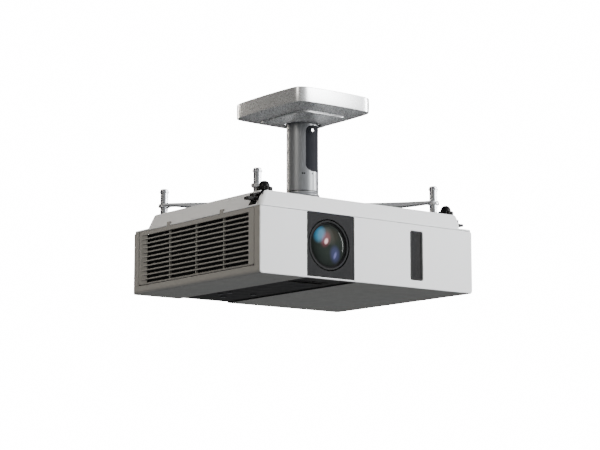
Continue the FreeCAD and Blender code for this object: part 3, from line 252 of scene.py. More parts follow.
def round_cutter(centre, radius, z, steps):
    """A round bar along Z, for cutting a hole through z."""
    low, high = widened(z, MM)
    profile = [(0, low), (radius, low), (radius, high), (0, high)]
    return lathe("round_cutter", profile, (*centre, 0), steps=steps, closed=False)


def arc(centre, radius, start, end, steps=6):
    """Points along an arc, with its angles in degrees."""
    angles = [math.radians(start + (end - start) * k / steps) for k in range(steps + 1)]
    return [(centre[0] + radius * math.cos(a), centre[1] + radius * math.sin(a)) for a in angles]


def plate_with_holes(name, outline, holes, thickness, bevel):
    """A flat plate in the XY plane, centred on z = 0, with rounded edges all round."""
    curve = bpy.data.curves.new(name, "CURVE")
    curve.dimensions = "2D"
    curve.fill_mode = "BOTH"
    curve.extrude = thickness / 2 - bevel
    curve.bevel_depth = bevel
    curve.bevel_resolution = 3
    curve.offset = -bevel
    for loop in (outline, *holes):
        spline = curve.splines.new("POLY")
        spline.points.add(len(loop) - 1)
        for point, (u, v) in zip(spline.points, loop):
            point.co = (u, v, 0, 1)
        spline.use_cyclic_u = True
    holder = bpy.data.objects.new(name, curve)
    bpy.context.scene.collection.objects.link(holder)
    bpy.context.view_layer.update()
    mesh = bpy.data.meshes.new_from_object(holder.evaluated_get(bpy.context.evaluated_depsgraph_get()))
    bpy.data.objects.remove(holder)
    mesh.materials.clear()
    finish_mesh(mesh)
    return mesh


def stood_up(mesh, plane, offset):
    """Turns a plate from the XY plane to face Y or X; offset is the place of its middle."""
    if plane == "y":
        turn = Matrix(((1, 0, 0), (0, 0, -1), (0, 1, 0)))
        shift = Vector((0, offset, 0))
    elif plane == "x":
        turn = Matrix(((0, 0, 1), (1, 0, 0), (0, 1, 0)))
        shift = Vector((offset, 0, 0))
    else:
        turn = Matrix.Identity(3)
        shift = Vector((0, 0, offset))
    mesh.transform(Matrix.Translation(shift) @ turn.to_4x4())
    return mesh


# ---- materials

def new_material(name, colour, roughness, metallic=0.0):
    """A Principled material with its constants set on the shader.
    Returns the material, its nodes, its links and its shader."""
    material = bpy.data.materials.new(name)
    material.use_nodes = True
    tree = material.node_tree
    shader = tree.nodes["Principled BSDF"]
    shader.inputs["Base Color"].default_value = (*colour, 1)
    shader.inputs["Roughness"].default_value = roughness
    shader.inputs["Metallic"].default_value = metallic
    return material, tree.nodes, tree.links, shader


def object_noise(nodes, links, scale, detail=4, stretch=(1, 1, 1)):
    """Noise in the object's own space, in features per metre."""
    where = nodes.new("ShaderNodeTexCoord")
    mapping = nodes.new("ShaderNodeMapping")
    mapping.inputs["Scale"].default_value = stretch
    noise = nodes.new("ShaderNodeTexNoise")
    noise.inputs["Scale"].default_value = scale
    noise.inputs["Detail"].default_value = detail
    links.new(where.outputs["Object"], mapping.inputs["Vector"])
    links.new(mapping.outputs["Vector"], noise.inputs["Vector"])
    return noise


def spread(nodes, links, source, low, high):
    """Maps noise, which stays mostly within 0.3 to 0.7, to low..high."""
    ramp = nodes.new("ShaderNodeMapRange")
    ramp.inputs["From Min"].default_value = 0.3
    ramp.inputs["From Max"].default_value = 0.7
    ramp.inputs["To Min"].default_value = low
    ramp.inputs["To Max"].default_value = high
    links.new(source, ramp.inputs["Value"])
    return ramp.outputs["Result"]


def mottled(nodes, links, shader, colour, source, change):
    """Colour that drifts a little lighter and darker."""
    mix = nodes.new("ShaderNodeMix")
    mix.data_type = "RGBA"
    mix.inputs["A"].default_value = (*[c * (1 - change) for c in colour], 1)
    mix.inputs["B"].default_value = (*[min(1, c * (1 + change)) for c in colour], 1)
    links.new(source, mix.inputs["Factor"])
    links.new(mix.outputs["Result"], shader.inputs["Base Color"])


def bump(nodes, links, shader, source, strength, distance):
    node = nodes.new("ShaderNodeBump")
    node.inputs["Strength"].default_value = strength
    node.inputs["Distance"].default_value = distance
    links.new(source, node.inputs["Height"])
    links.new(node.outputs["Normal"], shader.inputs["Normal"])


def moulded_plastic(name, colour, roughness=0.45, grain=0.25, change=0.03, shine=0.5):
    """Moulded plastic: fine spark texture, slow colour drift, uneven sheen."""
    material, nodes, links, shader = new_material(name, colour, roughness)
    shader.inputs["Specular IOR Level"].default_value = shine
    drift = object_noise(nodes, links, 9, 3)
    mottled(nodes, links, shader, colour, drift.outputs["Fac"], change)
    sheen = object_noise(nodes, links, 60, 4)
    links.new(spread(nodes, links, sheen.outputs["Fac"], roughness - 0.05, roughness + 0.05),
              shader.inputs["Roughness"])
    spark = object_noise(nodes, links, 2600, 2)
    bump(nodes, links, shader, spark.outputs["Fac"], grain, 0.00004)
    return material


def painted_steel(name, colour, roughness=0.4, metallic=0.0, peel=0.12):
    """Powder-coated steel with a little orange peel."""
    material, nodes, links, shader = new_material(name, colour, roughness, metallic)
    shader.inputs["Coat Weight"].default_value = 0.15
    drift = object_noise(nodes, links, 14, 3)
    mottled(nodes, links, shader, colour, drift.outputs["Fac"], 0.04)
    peel_noise = object_noise(nodes, links, 900, 3)
    links.new(spread(nodes, links, peel_noise.outputs["Fac"], roughness - 0.03, roughness + 0.03),
              shader.inputs["Roughness"])
    bump(nodes, links, shader, peel_noise.outputs["Fac"], peel, 0.00006)
    return material


def bare_steel(name, colour, roughness=0.28, stretch=(1, 1, 12)):
    """Turned or rolled metal with fine drawn marks."""
    material, nodes, links, shader = new_material(name, colour, roughness, 1.0)
    marks = object_noise(nodes, links, 700, 5, stretch)
    mottled(nodes, links, shader, colour, marks.outputs["Fac"], 0.08)
    links.new(spread(nodes, links, marks.outputs["Fac"], roughness - 0.08, roughness + 0.1),
              shader.inputs["Roughness"])
    bump(nodes, links, shader, marks.outputs["Fac"], 0.1, 0.00002)
    return material


def open_foam(name, colour):
    """Matt foam with open cells."""
    material, nodes, links, shader = new_material(name, colour, 0.95)
    where = nodes.new("ShaderNodeTexCoord")
    cells = nodes.new("ShaderNodeTexVoronoi")
    cells.inputs["Scale"].default_value = 900
    links.new(where.outputs["Object"], cells.inputs["Vector"])
    mottled(nodes, links, shader, colour, cells.outputs["Distance"], 0.6)
    bump(nodes, links, shader, cells.outputs["Distance"], 0.8, 0.0006)
    return material


def circuit_board(name, colour):
    """Lacquered board with faint long tracks."""
    material, nodes, links, shader = new_material(name, colour, 0.4)
    tracks = object_noise(nodes, links, 220, 2, (1, 6, 1))
    mottled(nodes, links, shader, colour, tracks.outputs["Fac"], 0.35)
    bump(nodes, links, shader, tracks.outputs["Fac"], 0.3, 0.0001)
    return material


def coated_glass(name, centre, radius):
    """Dark lens glass with painted reflections: the inner elements' reflections and a painted highlight show
    as soft coloured glow patches at fixed places on the lens.
    Each glow gives its colour, its middle and half sizes as shares of the glass radius,
    its turn in degrees and its strength."""
    material, nodes, links, shader = new_material(name, (0.012, 0.013, 0.012), 0.06)
    shader.inputs["IOR"].default_value = 1.5
    # The glass reflects almost nothing itself and emits instead, though it is no lamp: painted reflections
    # and a painted highlight.
    shader.inputs["Specular IOR Level"].default_value = 0.015
    shader.inputs["Emission Strength"].default_value = 1.0
    where = nodes.new("ShaderNodeTexCoord")
    drift = object_noise(nodes, links, 45, 3)
    mottled(nodes, links, shader, (0.013, 0.015, 0.014), drift.outputs["Fac"], 0.4)
    # Each entry is a painted reflection. The small warm-white one is a painted highlight, and the last is a
    # faint painted glow over the whole glass.
    painted_reflections = (((0.04, 0.22, 0.38), (-0.54, 0.48), (0.30, 0.44), 30, 1.0),
             ((0.24, 0.03, 0.06), (-0.22, 0.26), (0.28, 0.42), 25, 0.7),
             ((1.2, 0.85, 0.85), (-0.20, 0.17), (0.11, 0.17), 25, 1.0),
             ((0.05, 0.05, 0.16), (0.34, -0.40), (0.34, 0.44), -10, 0.8),
             ((0.16, 0.16, 0.36), (0.34, -0.46), (0.09, 0.20), 20, 0.8),
             ((0.03, 0.018, 0.012), (0.1, 0.45), (0.55, 0.45), 0, 0.8),
             ((0.012, 0.018, 0.014), (0.0, 0.0), (1.0, 1.0), 0, 1.0))
    any_depth = 1000
    total = None
    for colour, spot, size, turn, strength in painted_reflections:
        place = nodes.new("ShaderNodeMapping")
        place.vector_type = "TEXTURE"
        across, up = centre[0] + spot[0] * radius, centre[2] + spot[1] * radius
        place.inputs["Location"].default_value = (across, centre[1], up)
        place.inputs["Rotation"].default_value = (0, math.radians(turn), 0)
        place.inputs["Scale"].default_value = (size[0] * radius, any_depth, size[1] * radius)
        links.new(where.outputs["Object"], place.inputs["Vector"])
        reach = nodes.new("ShaderNodeVectorMath")
        reach.operation = "LENGTH"
        links.new(place.outputs["Vector"], reach.inputs[0])
        fade = nodes.new("ShaderNodeMapRange")
        fade.interpolation_type = "SMOOTHSTEP"
        for key, value in (("From Min", 0.35), ("From Max", 1.2), ("To Min", strength), ("To Max", 0.0)):
            fade.inputs[key].default_value = value
        links.new(reach.outputs["Value"], fade.inputs["Value"])
        tint = nodes.new("ShaderNodeVectorMath")
        tint.operation = "SCALE"
        tint.inputs[0].default_value = colour
        links.new(fade.outputs["Result"], tint.inputs["Scale"])
        if total is None:
            total = tint.outputs["Vector"]
            continue
        added = nodes.new("ShaderNodeVectorMath")
        added.operation = "ADD"
        links.new(total, added.inputs[0])
        links.new(tint.outputs["Vector"], added.inputs[1])
        total = added.outputs["Vector"]
    links.new(total, shader.inputs["Emission Color"])
    return material


MATERIALS = {
    "case_white": moulded_plastic("case_white", (0.72, 0.73, 0.74), 0.42, shine=0.3),
    "case_grey": moulded_plastic("case_grey", (0.27, 0.265, 0.25), 0.5, shine=0.2),
    "cover_plastic": painted_steel("cover_plastic", (0.60, 0.61, 0.62), 0.27, 0.6, 0.0),
    "cable_cover_plastic": moulded_plastic("cable_cover_plastic", (0.0115, 0.0125, 0.0165), 0.6, shine=0.04),
    "lens_grey": moulded_plastic("lens_grey", (0.0135, 0.014, 0.015), 0.55, 0.15, shine=0.05),
    "window_dark": moulded_plastic("window_dark", (0.0165, 0.017, 0.018), 0.45, 0.05, shine=0.06),
    "lens_black": moulded_plastic("lens_black", (0.004, 0.004, 0.0045), 0.6, 0.2, shine=0.04),
    "black_plastic": moulded_plastic("black_plastic", (0.005, 0.005, 0.0055), 0.45, 0.2, shine=0.1),
    "key_grey": moulded_plastic("key_grey", (0.05, 0.05, 0.055), 0.5),
    "nylon_black": moulded_plastic("nylon_black", (0.02, 0.02, 0.02), 0.6),
    "engine_grey": moulded_plastic("engine_grey", (0.1, 0.1, 0.1), 0.6),
    "mount_paint": painted_steel("mount_paint", (0.16, 0.168, 0.18), 0.36, 0.3),
    "arm_steel": painted_steel("arm_steel", (0.30, 0.31, 0.325), 0.38, 0.4),
    "spring_steel": bare_steel("spring_steel", (0.62, 0.62, 0.63), 0.3),
    "post_chrome": bare_steel("post_chrome", (0.5, 0.51, 0.53), 0.2),
    "nut_steel": bare_steel("nut_steel", (0.55, 0.55, 0.56), 0.3),
    # Lens glass whose emission paints reflections and a highlight.
    "coated_glass": coated_glass("coated_glass", middle_of("front_glass"), glass_radius()),
    "board_green": circuit_board("board_green", (0.03, 0.16, 0.07)),
    "filter_foam": open_foam("filter_foam", (0.03, 0.03, 0.03)),
}

SLOT_OF = {entry["node"]: entry["material_slot"] for entry in frame["record"]["subparts"]}
BODY_OF = {node: body for body, nodes in frame["record"]["behaviour"]["bodies"].items() for node in nodes}


def dress_frame():
    """Every carried-over CAD node gets its slot's material."""
    for node, cad in frame["nodes"].items():
        cad.data.materials.clear()
        cad.data.materials.append(MATERIALS[SLOT_OF[node]])


def stand_for(node, mesh, material=None):
    """A detailed piece in place of a CAD node, on the same body and slot."""
    slot_name = SLOT_OF[node]
    paint = MATERIALS[material or slot_name]
    piece = add_object(node + "_skin", mesh, paint, BODY_OF[node])
    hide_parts(node)


dress_frame()


# ---- ceiling cover, column and cable cover

COVER_STEPS = 192


def cover_ring(half_x, half_y, z, power=13):
    return at_height(bulged_outline(half_x, half_y, power, COVER_STEPS), z)


def round_ring(radius, z):
    return at_height(circle((0, 0), radius, COVER_STEPS), z)


def ceiling_cover():
    """Bulging rim, shallow underside with a raised middle plate, and a hole for the column."""
    x, y, z = spans("ceiling_cover")
    half_x, half_y = x[1] - 1.2 * MM, y[1] - 1.2 * MM
    rim_low, dish_low = z[1] - 23.5 * MM, z[0]
    step_x, step_y, hole = 45.5 * MM, 59.5 * MM, 29 * MM
    step_top, step_low = rim_low - 4.2 * MM, rim_low - 8.0 * MM
    wall, soft, tighter = COVER_WALL, 0.9 * MM, 11

    def rim(inset, height):
        return cover_ring(half_x - inset, half_y - inset, height)

    def step(inset, height):
        return cover_ring(step_x - inset, step_y - inset, height, tighter)

    rings = [
        rim(wall, z[1]),
        rim(soft, z[1]),
        rim(0, z[1] - soft),
        rim(-0.3 * MM, (z[1] + rim_low) / 2),
        rim(0, rim_low + soft),
        rim(0.3 * soft, rim_low + 0.3 * soft),
        rim(soft, rim_low),
        rim(7 * MM, rim_low - 0.8 * MM),
        step(-0.8 * MM, step_top),
        step(0, step_top - 0.3 * MM),
        step(0, step_low + 0.4 * MM),
        step(0.5 * MM, step_low),
        round_ring(hole + 9 * MM, dish_low + 1.6 * MM),
        round_ring(hole + 1 * MM, dish_low),
        round_ring(hole, dish_low + 0.6 * MM),
        round_ring(hole, dish_low + wall),
        round_ring(hole + 7 * MM, dish_low + wall + 1.8 * MM),
        step(wall, step_low + wall),
        step(wall, step_top + wall),
        rim(wall, rim_low + wall),
    ]
    stand_for("ceiling_cover", closed_loft("ceiling_cover_skin", rings))


def screws_painted_shade():
    """The column's grub screws sit deep in sockets; their near-black colour is painted shade for those dark
    sockets.
    """
    cad = frame["nodes"]["column_screws"]
    cad.data.materials.clear()
    # Near-black steel: painted shade of the screw sockets, not a real black finish.
    cad.data.materials.append(bare_steel("screw_steel_painted_shade", (0.03, 0.03, 0.032), 0.5))


# ---- tray towards the ceiling

def tray_solid():
    """Lip, sloping sides and face, as one loft of rounded outlines."""
    x, y, z = spans("base_tray")
    lip_top = z[0] + TRAY_LIP
    levels = []

    def lip(height, inset):
        corner = 5 * MM - inset
        outline = rounded_outline(widened(x, -inset), widened(y, -inset), corner)
        levels.append(at_height(outline, height))

    def slope(height, share, inset=0.0):
        """One level of the slope; share runs from 0 at the lip to 1 at the face."""
        side = (3 + 13 * share) * MM + inset
        span_y = (y[0] + (3 + 12 * share) * MM + inset, y[1] - (26 - share) * MM - inset)
        far_corner, near_corner = 12 * MM, (6 + 3 * share) * MM
        corners = (far_corner, far_corner, near_corner, near_corner)
        levels.append(at_height(rounded_outline(widened(x, -side), span_y, corners), height))

    for height, inset in ((z[0], 0.6), (z[0] + 0.3 * MM, 0.15), (z[0] + 0.7 * MM, 0),
                          (lip_top - 0.9 * MM, 0), (lip_top - 0.3 * MM, 0.25), (lip_top, 0.9)):
        lip(height, inset * MM)
    tall = z[1] - lip_top
    slope(lip_top, 0, -0.5 * MM)
    slope(lip_top + 0.5 * MM, 0.03)
    slope(lip_top + tall * 0.5, 0.5)
    slope(z[1] - 1.8 * MM, 0.92)
    slope(z[1] - 0.8 * MM, 0.97, 0.3 * MM)
    slope(z[1] - 0.2 * MM, 1, 0.6 * MM)
    slope(z[1], 1, 1.6 * MM)
    return loft("tray", levels)


def tray():
    """The tray less the feet's pockets, the latch notches and the square right corner."""
    x, y, z = spans("base_tray")
    lip_top, above = z[0] + TRAY_LIP, z[1] + MM
    leg_hole, strip_depth, block_top = 4.6 * MM, 6.4 * MM, lip_top + 9.6 * MM
    lever_gap, lever_slot = 0.6 * MM, (z[1] - 16 * MM, z[1] - 3 * MM)
    cutters = []
    for node in ("foot_leg_left", "foot_leg_right"):
        fx, fy, _ = spans(node)
        cutters.append(round_cutter((middle(fx), middle(fy)), leg_hole, z, 32))
    for hx, hy, hz in solids_spans("foot_housings"):
        low = hz[0] - PANEL_GAP
        outer = outward(x, hx, PANEL_GAP)
        cutters.append(block(outer, widened(hy, PANEL_GAP), (low, block_top)))
        if middle(hx) < 0:
            cutters.append(block(outer, (hy[0] - PANEL_GAP, hy[0] + strip_depth), (low, above)))
    for node in ("foot_lever_left", "foot_lever_right"):
        lx, ly, _ = spans(node)
        cutters.append(block(outward(x, lx, MM), widened(ly, lever_gap), lever_slot))
    wall_x = x[1] - 20 * MM
    rear = spans("foot_lever_right")[1][0] - lever_gap
    cutters.append(block((wall_x, x[1] + MM), (y[0] - MM, rear), (lip_top, above)))
    cutters.append(corner_rounding(wall_x, y[0], 12 * MM, (lip_top, above)))
    latch_place, latch_half = 70 * MM, 5.6 * MM
    for centre in (-latch_place, latch_place):
        cutters.append(block((x[0] - MM, x[0] + 3.1 * MM), (centre - latch_half, centre + latch_half),
                             (z[0] - MM, lip_top + 4 * MM)))
    stand_for("base_tray", cut_away(tray_solid(), cutters))


def outward(tray_x, piece_x, gap):
    """From a gap inside a piece to past the tray's nearer side."""
    if middle(piece_x) < 0:
        return (tray_x[0] - MM, piece_x[1] + gap)
    return (piece_x[0] - gap, tray_x[1] + MM)


def corner_rounding(wall_x, front_y, radius, z):
    """What is left of a corner's square prism outside its rounding."""
    centre = (wall_x - radius, front_y + radius)
    outline = [(wall_x + MM, centre[1]), *arc(centre, radius, 0, -90, 10)]
    outline += [(centre[0], front_y - MM), (wall_x + MM, front_y - MM)]
    return loft("rounding", [at_height(outline, z[0]), at_height(outline, z[1])])


def solids_spans(node):
    """The boxes of a node's separate solids, left to right."""
    mesh = frame["nodes"][node].data
    parent = list(range(len(mesh.vertices)))

    def root(k):
        while parent[k] != k:
            parent[k] = parent[parent[k]]
            k = parent[k]
        return k

    for edge in mesh.edges:
        a, b = (root(k) for k in edge.vertices)
        parent[a] = b
    matrix = frame["nodes"][node].matrix_world
    clusters = {}
    for k, vertex in enumerate(mesh.vertices):
        clusters.setdefault(root(k), []).append(matrix @ vertex.co)
    boxes = [tuple((min(p[axis] for p in cluster), max(p[axis] for p in cluster)) for axis in range(3))
             for cluster in clusters.values()]
    return sorted(merge_boxes(boxes), key=lambda b: b[0][0])


def merge_boxes(boxes):
    """Joins boxes that touch, since a solid's faces may have come in as separate patches."""
    merged = []
    for box_spans in boxes:
        current = box_spans
        rest = []
        for other in merged:
            if all(current[a][0] <= other[a][1] + 0.1 * MM and other[a][0] <= current[a][1] + 0.1 * MM
                   for a in range(3)):
                current = tuple((min(current[a][0], other[a][0]), max(current[a][1], other[a][1]))
                                for a in range(3))
            else:
                rest.append(other)
        merged = rest + [current]
    return merged


# ---- case panels

def plan_plate(node, outline, holes, plane, face, thickness, bevel):
    """A flat panel whose outer face lies at face; outline is in the panel's own two axes."""
    inward = 1 if face < 0 else -1
    mesh = plate_with_holes(node + "_plate", outline, holes, thickness, bevel)
    stood_up(mesh, plane, face + inward * thickness / 2)
    return mesh


def front_panel():
    """Case front, open at the top for the lens panel, with a hole for the sensor window."""
    x, y, z = spans("front_panel")
    lens, window = spans("lens_panel"), spans("ir_window")
    corner, sill = 4 * MM, lens[2][0] - PANEL_GAP
    left, right = widened(lens[0], PANEL_GAP)
    outline = [(left, z[1]), (x[0] + MM, z[1]), (x[0], z[1] - MM)]
    outline += corner_points(x[0], z[0], corner, 180)
    outline += corner_points(x[1], z[0], corner, 270)
    outline += eased_corner(x[1], z[1], 1)
    outline += [(right, z[1]), (right, sill), (left, sill)]
    hole = opening(widened(window[0], PANEL_GAP), widened(window[2], PANEL_GAP), 3 * MM)
    mesh = plan_plate("front_panel", outline, [hole], "y", y[0], y[1] - y[0], 0.9 * MM)
    stand_for("front_panel", mesh)


def corner_points(x, z, radius, start, steps=6):
    """A rounded bottom corner of an outline, turning anticlockwise from start degrees."""
    inward = radius if start == 180 else -radius
    return arc((x + inward, z + radius), radius, start, start + 90, steps)


def eased_corner(x, z, side):
    """A top corner worn round in two flats; side is 1 on the right and -1 on the left."""
    reach, cut = 3 * MM, 0.9 * MM
    points = [(x, z - reach), (x - side * cut, z - cut), (x - side * reach, z)]
    return points if side > 0 else list(reversed(points))


def lens_panel():
    """Square plate round the lens ring."""
    x, y, z = spans("lens_panel")
    bx, _, bz = spans("lens_bezel")
    radius = (bx[1] - bx[0]) / 2 + 0.9 * MM
    outline = rounded_outline(x, z, 0.5 * MM, 2)
    hole = circle((middle(bx), middle(bz)), radius, 96, turn=-1)
    mesh = plan_plate("lens_panel", outline, [hole], "y", y[0], y[1] - y[0], 0.4 * MM)
    stand_for("lens_panel", mesh)


def lens_bezel():
    """A flat ring level with its panel, rolled in towards the glass."""
    x, y, z = spans("lens_bezel")
    outer, bore, depth = (x[1] - x[0]) / 2 - 0.5 * MM, glass_radius() + 1.6 * MM, 15 * MM
    profile = [(outer, depth), (outer, 0.5 * MM), (outer - 0.15 * MM, 0.15 * MM), (outer - 0.5 * MM, 0)]
    profile += [(bore + 1.6 * MM, 0), (bore + 0.8 * MM, 0.3 * MM), (bore + 0.3 * MM, 1.1 * MM)]
    profile += [(bore, 2.2 * MM), (bore, depth - 2 * MM), (outer - 1.2 * MM, depth)]
    mesh = lathe("lens_bezel_skin", profile, (middle(x), y[0], middle(z)), "y")
    stand_for("lens_bezel", mesh, material="lens_grey")


def lens_cell():
    """The black mount that holds the glass, with a thin lip in front of it."""
    x, y, z = spans("lens_cell")
    outer, rim = (x[1] - x[0]) / 2 - 0.1 * MM, glass_radius() - 0.7 * MM
    bore, length, front = glass_radius() + 0.1 * MM, y[1] - y[0], -0.6 * MM
    profile = [(outer, length), (outer, front + 0.5 * MM), (outer - 0.4 * MM, front)]
    profile += [(rim + 0.6 * MM, front), (rim, front + 0.6 * MM), (bore, 2.6 * MM), (bore, length)]
    stand_for("lens_cell", lathe("lens_cell_skin", profile, (middle(x), y[0], middle(z)), "y"))


def front_glass():
    """A strongly curved front element whose middle stands just ahead of the panel."""
    x, y, z = spans("front_glass")
    radius, steps, bulge, ahead = glass_radius(), 20, 5.0 * MM, 7.2 * MM
    front = y[0] - ahead
    angles = [math.pi / 2 * k / steps for k in range(steps + 1)]
    profile = [(radius * math.sin(a), bulge - bulge * math.cos(a)) for a in angles]
    profile += [(radius, y[1] - front), (0, y[1] - front)]
    mesh = lathe("front_glass_skin", profile, (middle(x), front, middle(z)), "y", closed=False)
    stand_for("front_glass", mesh)


def ir_window():
    """A dark window with a smooth border and fine upright ribs."""
    x, y, z = spans("ir_window")
    border, pitch, proud, sunk, overlap = 2.6 * MM, 1.5 * MM, 0.35 * MM, 0.9 * MM, 0.1 * MM
    hole = opening(widened(x, -border), widened(z, -border), 1.2 * MM)
    frame_mesh = plan_plate("ir_window", rounded_outline(x, z, 2.7 * MM), [hole],
                            "y", y[0], y[1] - y[0], 0.3 * MM)
    left, right = widened(x, overlap - border)
    low, high = widened(z, overlap - border)
    count, steps = round((right - left) / pitch), 6
    outline = []
    for k in range(count * steps + 1):
        along = k / (count * steps)
        wave = math.sin(math.pi * count * along) ** 2
        outline.append((left + (right - left) * along, y[0] + sunk - proud * wave))
    outline += [(right, y[1]), (left, y[1])]
    ribs = loft("ribs", [at_height(outline, low), at_height(outline, high)], sharp=60)
    stand_for("ir_window", joined("ir_window_skin", [frame_mesh, ribs], 50))


def left_panel():
    """Two uprights and a sill round the filter door, the sill rolled under the case."""
    x, y, z = spans("left_panel")
    door = spans("filter_door")
    gap, roll, soft = 0.7 * MM, 5 * MM, 0.5 * MM
    sill = door[2][0] - gap
    section = [(x[0] + soft, sill), (x[0], sill - soft)]
    section += corner_points(x[0], z[0], roll, 180, 9)
    section += [(x[0] + roll, z[0] + 2 * MM), (x[1], z[0] + roll), (x[1], sill)]
    ends = [y[0], y[0] + soft, y[1] - soft, y[1]]
    strip = loft("sill", [[(u, v, w) for u, w in section] for v in ends])
    near, far = widened(door[1], gap)
    uprights = [rounded_block(x, span, (sill - soft, z[1]), soft) for span in ((y[0], near), (far, y[1]))]
    stand_for("left_panel", joined("left_panel_skin", [strip, *uprights]))


def filter_door():
    """Louvred door: long slots in rows, each with a fin behind its lower edge and a ramp at its
    rear end, thin ribs across the back, a hinge bar below and two latch tabs above."""
    x, y, z = spans("filter_door")
    panel_z = spans("left_panel")[2]
    body_top, first = panel_z[1] - 0.2 * MM, panel_z[0] + 15.4 * MM
    rows, slot, pitch, overlap = 11, 5.0 * MM, 6.94 * MM, 0.2 * MM
    half, face, inside, rib_half = y[1], x[0] + 0.25 * MM, x[1], 0.8 * MM
    near_end, far_end = -half + 13.5 * MM, half - 18 * MM
    ribs = [k * half * 0.47 - 2.8 * MM for k in (-1, 0, 1)]
    ramp_end = far_end + 13 * MM
    lows = [first + row * pitch for row in range(rows)]
    holes = [opening((near_end, ramp_end), (low, low + slot), 0.8 * MM, 3) for low in lows]
    outline = rounded_outline(widened(y, -0.5 * MM), (z[0] + 1.3 * MM, body_top), 1.6 * MM, 4)
    pieces = [plan_plate("filter_door", outline, holes, "x", face, inside - face, 0.35 * MM)]
    for low in lows:
        bottom, top = (inside - overlap, low - 0.5 * MM), (inside + 2.4 * MM, low + 0.75 * MM)
        pieces.append(fin(bottom, top, (near_end, far_end)))
        ramp_y = (far_end - 1.5 * MM, ramp_end + overlap)
        pieces.append(ramp(x, ramp_y, widened((low, low + slot), overlap)))
    rib_z = (lows[0] - MM, lows[-1] + slot + MM)
    for rib in ribs:
        pieces.append(rounded_block((inside - 0.9 * MM, inside + 3 * MM), (rib - rib_half, rib + rib_half),
                                    rib_z, 0.25 * MM, 2))
    pieces.append(rounded_block((x[0] + 0.5 * MM, inside - overlap), (-half + 4 * MM, half - 4 * MM),
                                (z[0] + overlap, z[0] + 2 * MM), 0.6 * MM))
    tab_place, tab_half = half * 0.464, 5 * MM
    for centre in (-tab_place, tab_place):
        tab_y = (centre - tab_half, centre + tab_half)
        pieces.append(rounded_block((x[0] + overlap, x[0] + 2.6 * MM), tab_y,
                                    (body_top - 2 * MM, z[1]), 0.9 * MM))
    stand_for("filter_door", joined("filter_door_skin", pieces))


def fin(start, end, y, thick=0.9 * MM):
    """A thin bar along Y that rises from start (x, z) to end."""
    section = [start, end, (end[0], end[1] - thick), (start[0], start[1] - thick)]
    return loft("fin", [[(u, v, w) for u, w in section] for v in y])


def ramp(x, y, z):
    """A wedge that brings a slot's rear end up to the door's face."""
    corners = [(x[1] - 0.1 * MM, y[0]), (x[0] + 0.25 * MM, y[1]), (x[1] - 0.1 * MM, y[1])]
    return loft("ramp", [at_height(corners, z[0]), at_height(corners, z[1])])


def right_panel():
    """Plain side with rows of air outlets."""
    x, y, z = spans("right_panel")
    rows, first, pitch, slot = 9, z[0] + 18 * MM, 7.5 * MM, 4 * MM
    fields = ((y[0] * 0.61, -14 * MM), (-8 * MM, y[1] * 0.48))
    fin_ends = (y[0] * 0.62, y[1] * 0.49)
    lows = [first + row * pitch for row in range(rows)]
    holes = [opening(field, (low, low + slot), 1.6 * MM, 4) for low in lows for field in fields]
    outline = rounded_outline(y, z, MM, 3)
    plate = plan_plate("right_panel", outline, holes, "x", x[1], x[1] - x[0], 0.7 * MM)
    fins = [fin((x[0] + 0.5 * MM, low), (x[0] - 2.4 * MM, low + 1.6 * MM), fin_ends) for low in lows]
    stand_for("right_panel", joined("right_panel_skin", [plate, *fins]))


def rear_panel():
    """Back with openings for the sockets and the mains inlet."""
    x, y, z = spans("rear_panel")
    holes = []
    for sx, _, sz in solids_spans("rear_ports") + [spans("ac_inlet")]:
        holes.append(opening(widened(sx, PANEL_GAP), widened(sz, PANEL_GAP), 0.8 * MM, 3))
    band, corner = spans("control_band"), 3 * MM
    left, right = widened(band[0], PANEL_GAP)
    top = band[2][1] + PANEL_GAP
    outline = eased_corner(x[0], z[1], -1)
    outline += corner_points(x[0], z[0], corner, 180)
    outline += [(left, z[0]), (left, top), (right, top), (right, z[0])]
    outline += corner_points(x[1], z[0], corner, 270)
    outline += eased_corner(x[1], z[1], 1)
    stand_for("rear_panel", plan_plate("rear_panel", outline, holes, "y", y[1], y[1] - y[0], 0.8 * MM))


def top_cover():
    """The flat side towards the floor, with the band's opening."""
    x, y, z = spans("top_cover")
    band, gap = spans("control_band"), 0.3 * MM
    left, right, near = band[0][0] - gap, band[0][1] + gap, band[1][0] - gap
    inner = x[0] + 2.4 * MM
    outline = [(inner, y[1]), (inner, y[0]), (x[1], y[0]), (x[1], y[1]), (right, y[1]), (right, near),
               (left, near), (left, y[1])]
    mesh = plate_with_holes("top_cover_plate", outline, [], z[1] - z[0], 0.3 * MM)
    stand_for("top_cover", stood_up(mesh, "z", middle(z)))


def control_band():
    """Sunk black channel with lever slots and key holes."""
    softened("control_band", 0.3 * MM)


def cad_copy(node):
    """A copy of a CAD node's mesh in the row frame, with its doubled corners welded."""
    cad = frame["nodes"][node]
    mesh = cad.data.copy()
    mesh.transform(cad.matrix_world)
    welded = baked(mesh, ("WELD", {"merge_threshold": 0.002 * MM}))
    welded.materials.clear()
    return welded


def softened(node, width):
    """A CAD node's own shape with its edges rounded."""
    stand_for(node, bevelled(cad_copy(node), width, segments=2, angle=40))


# ---- arms and posts

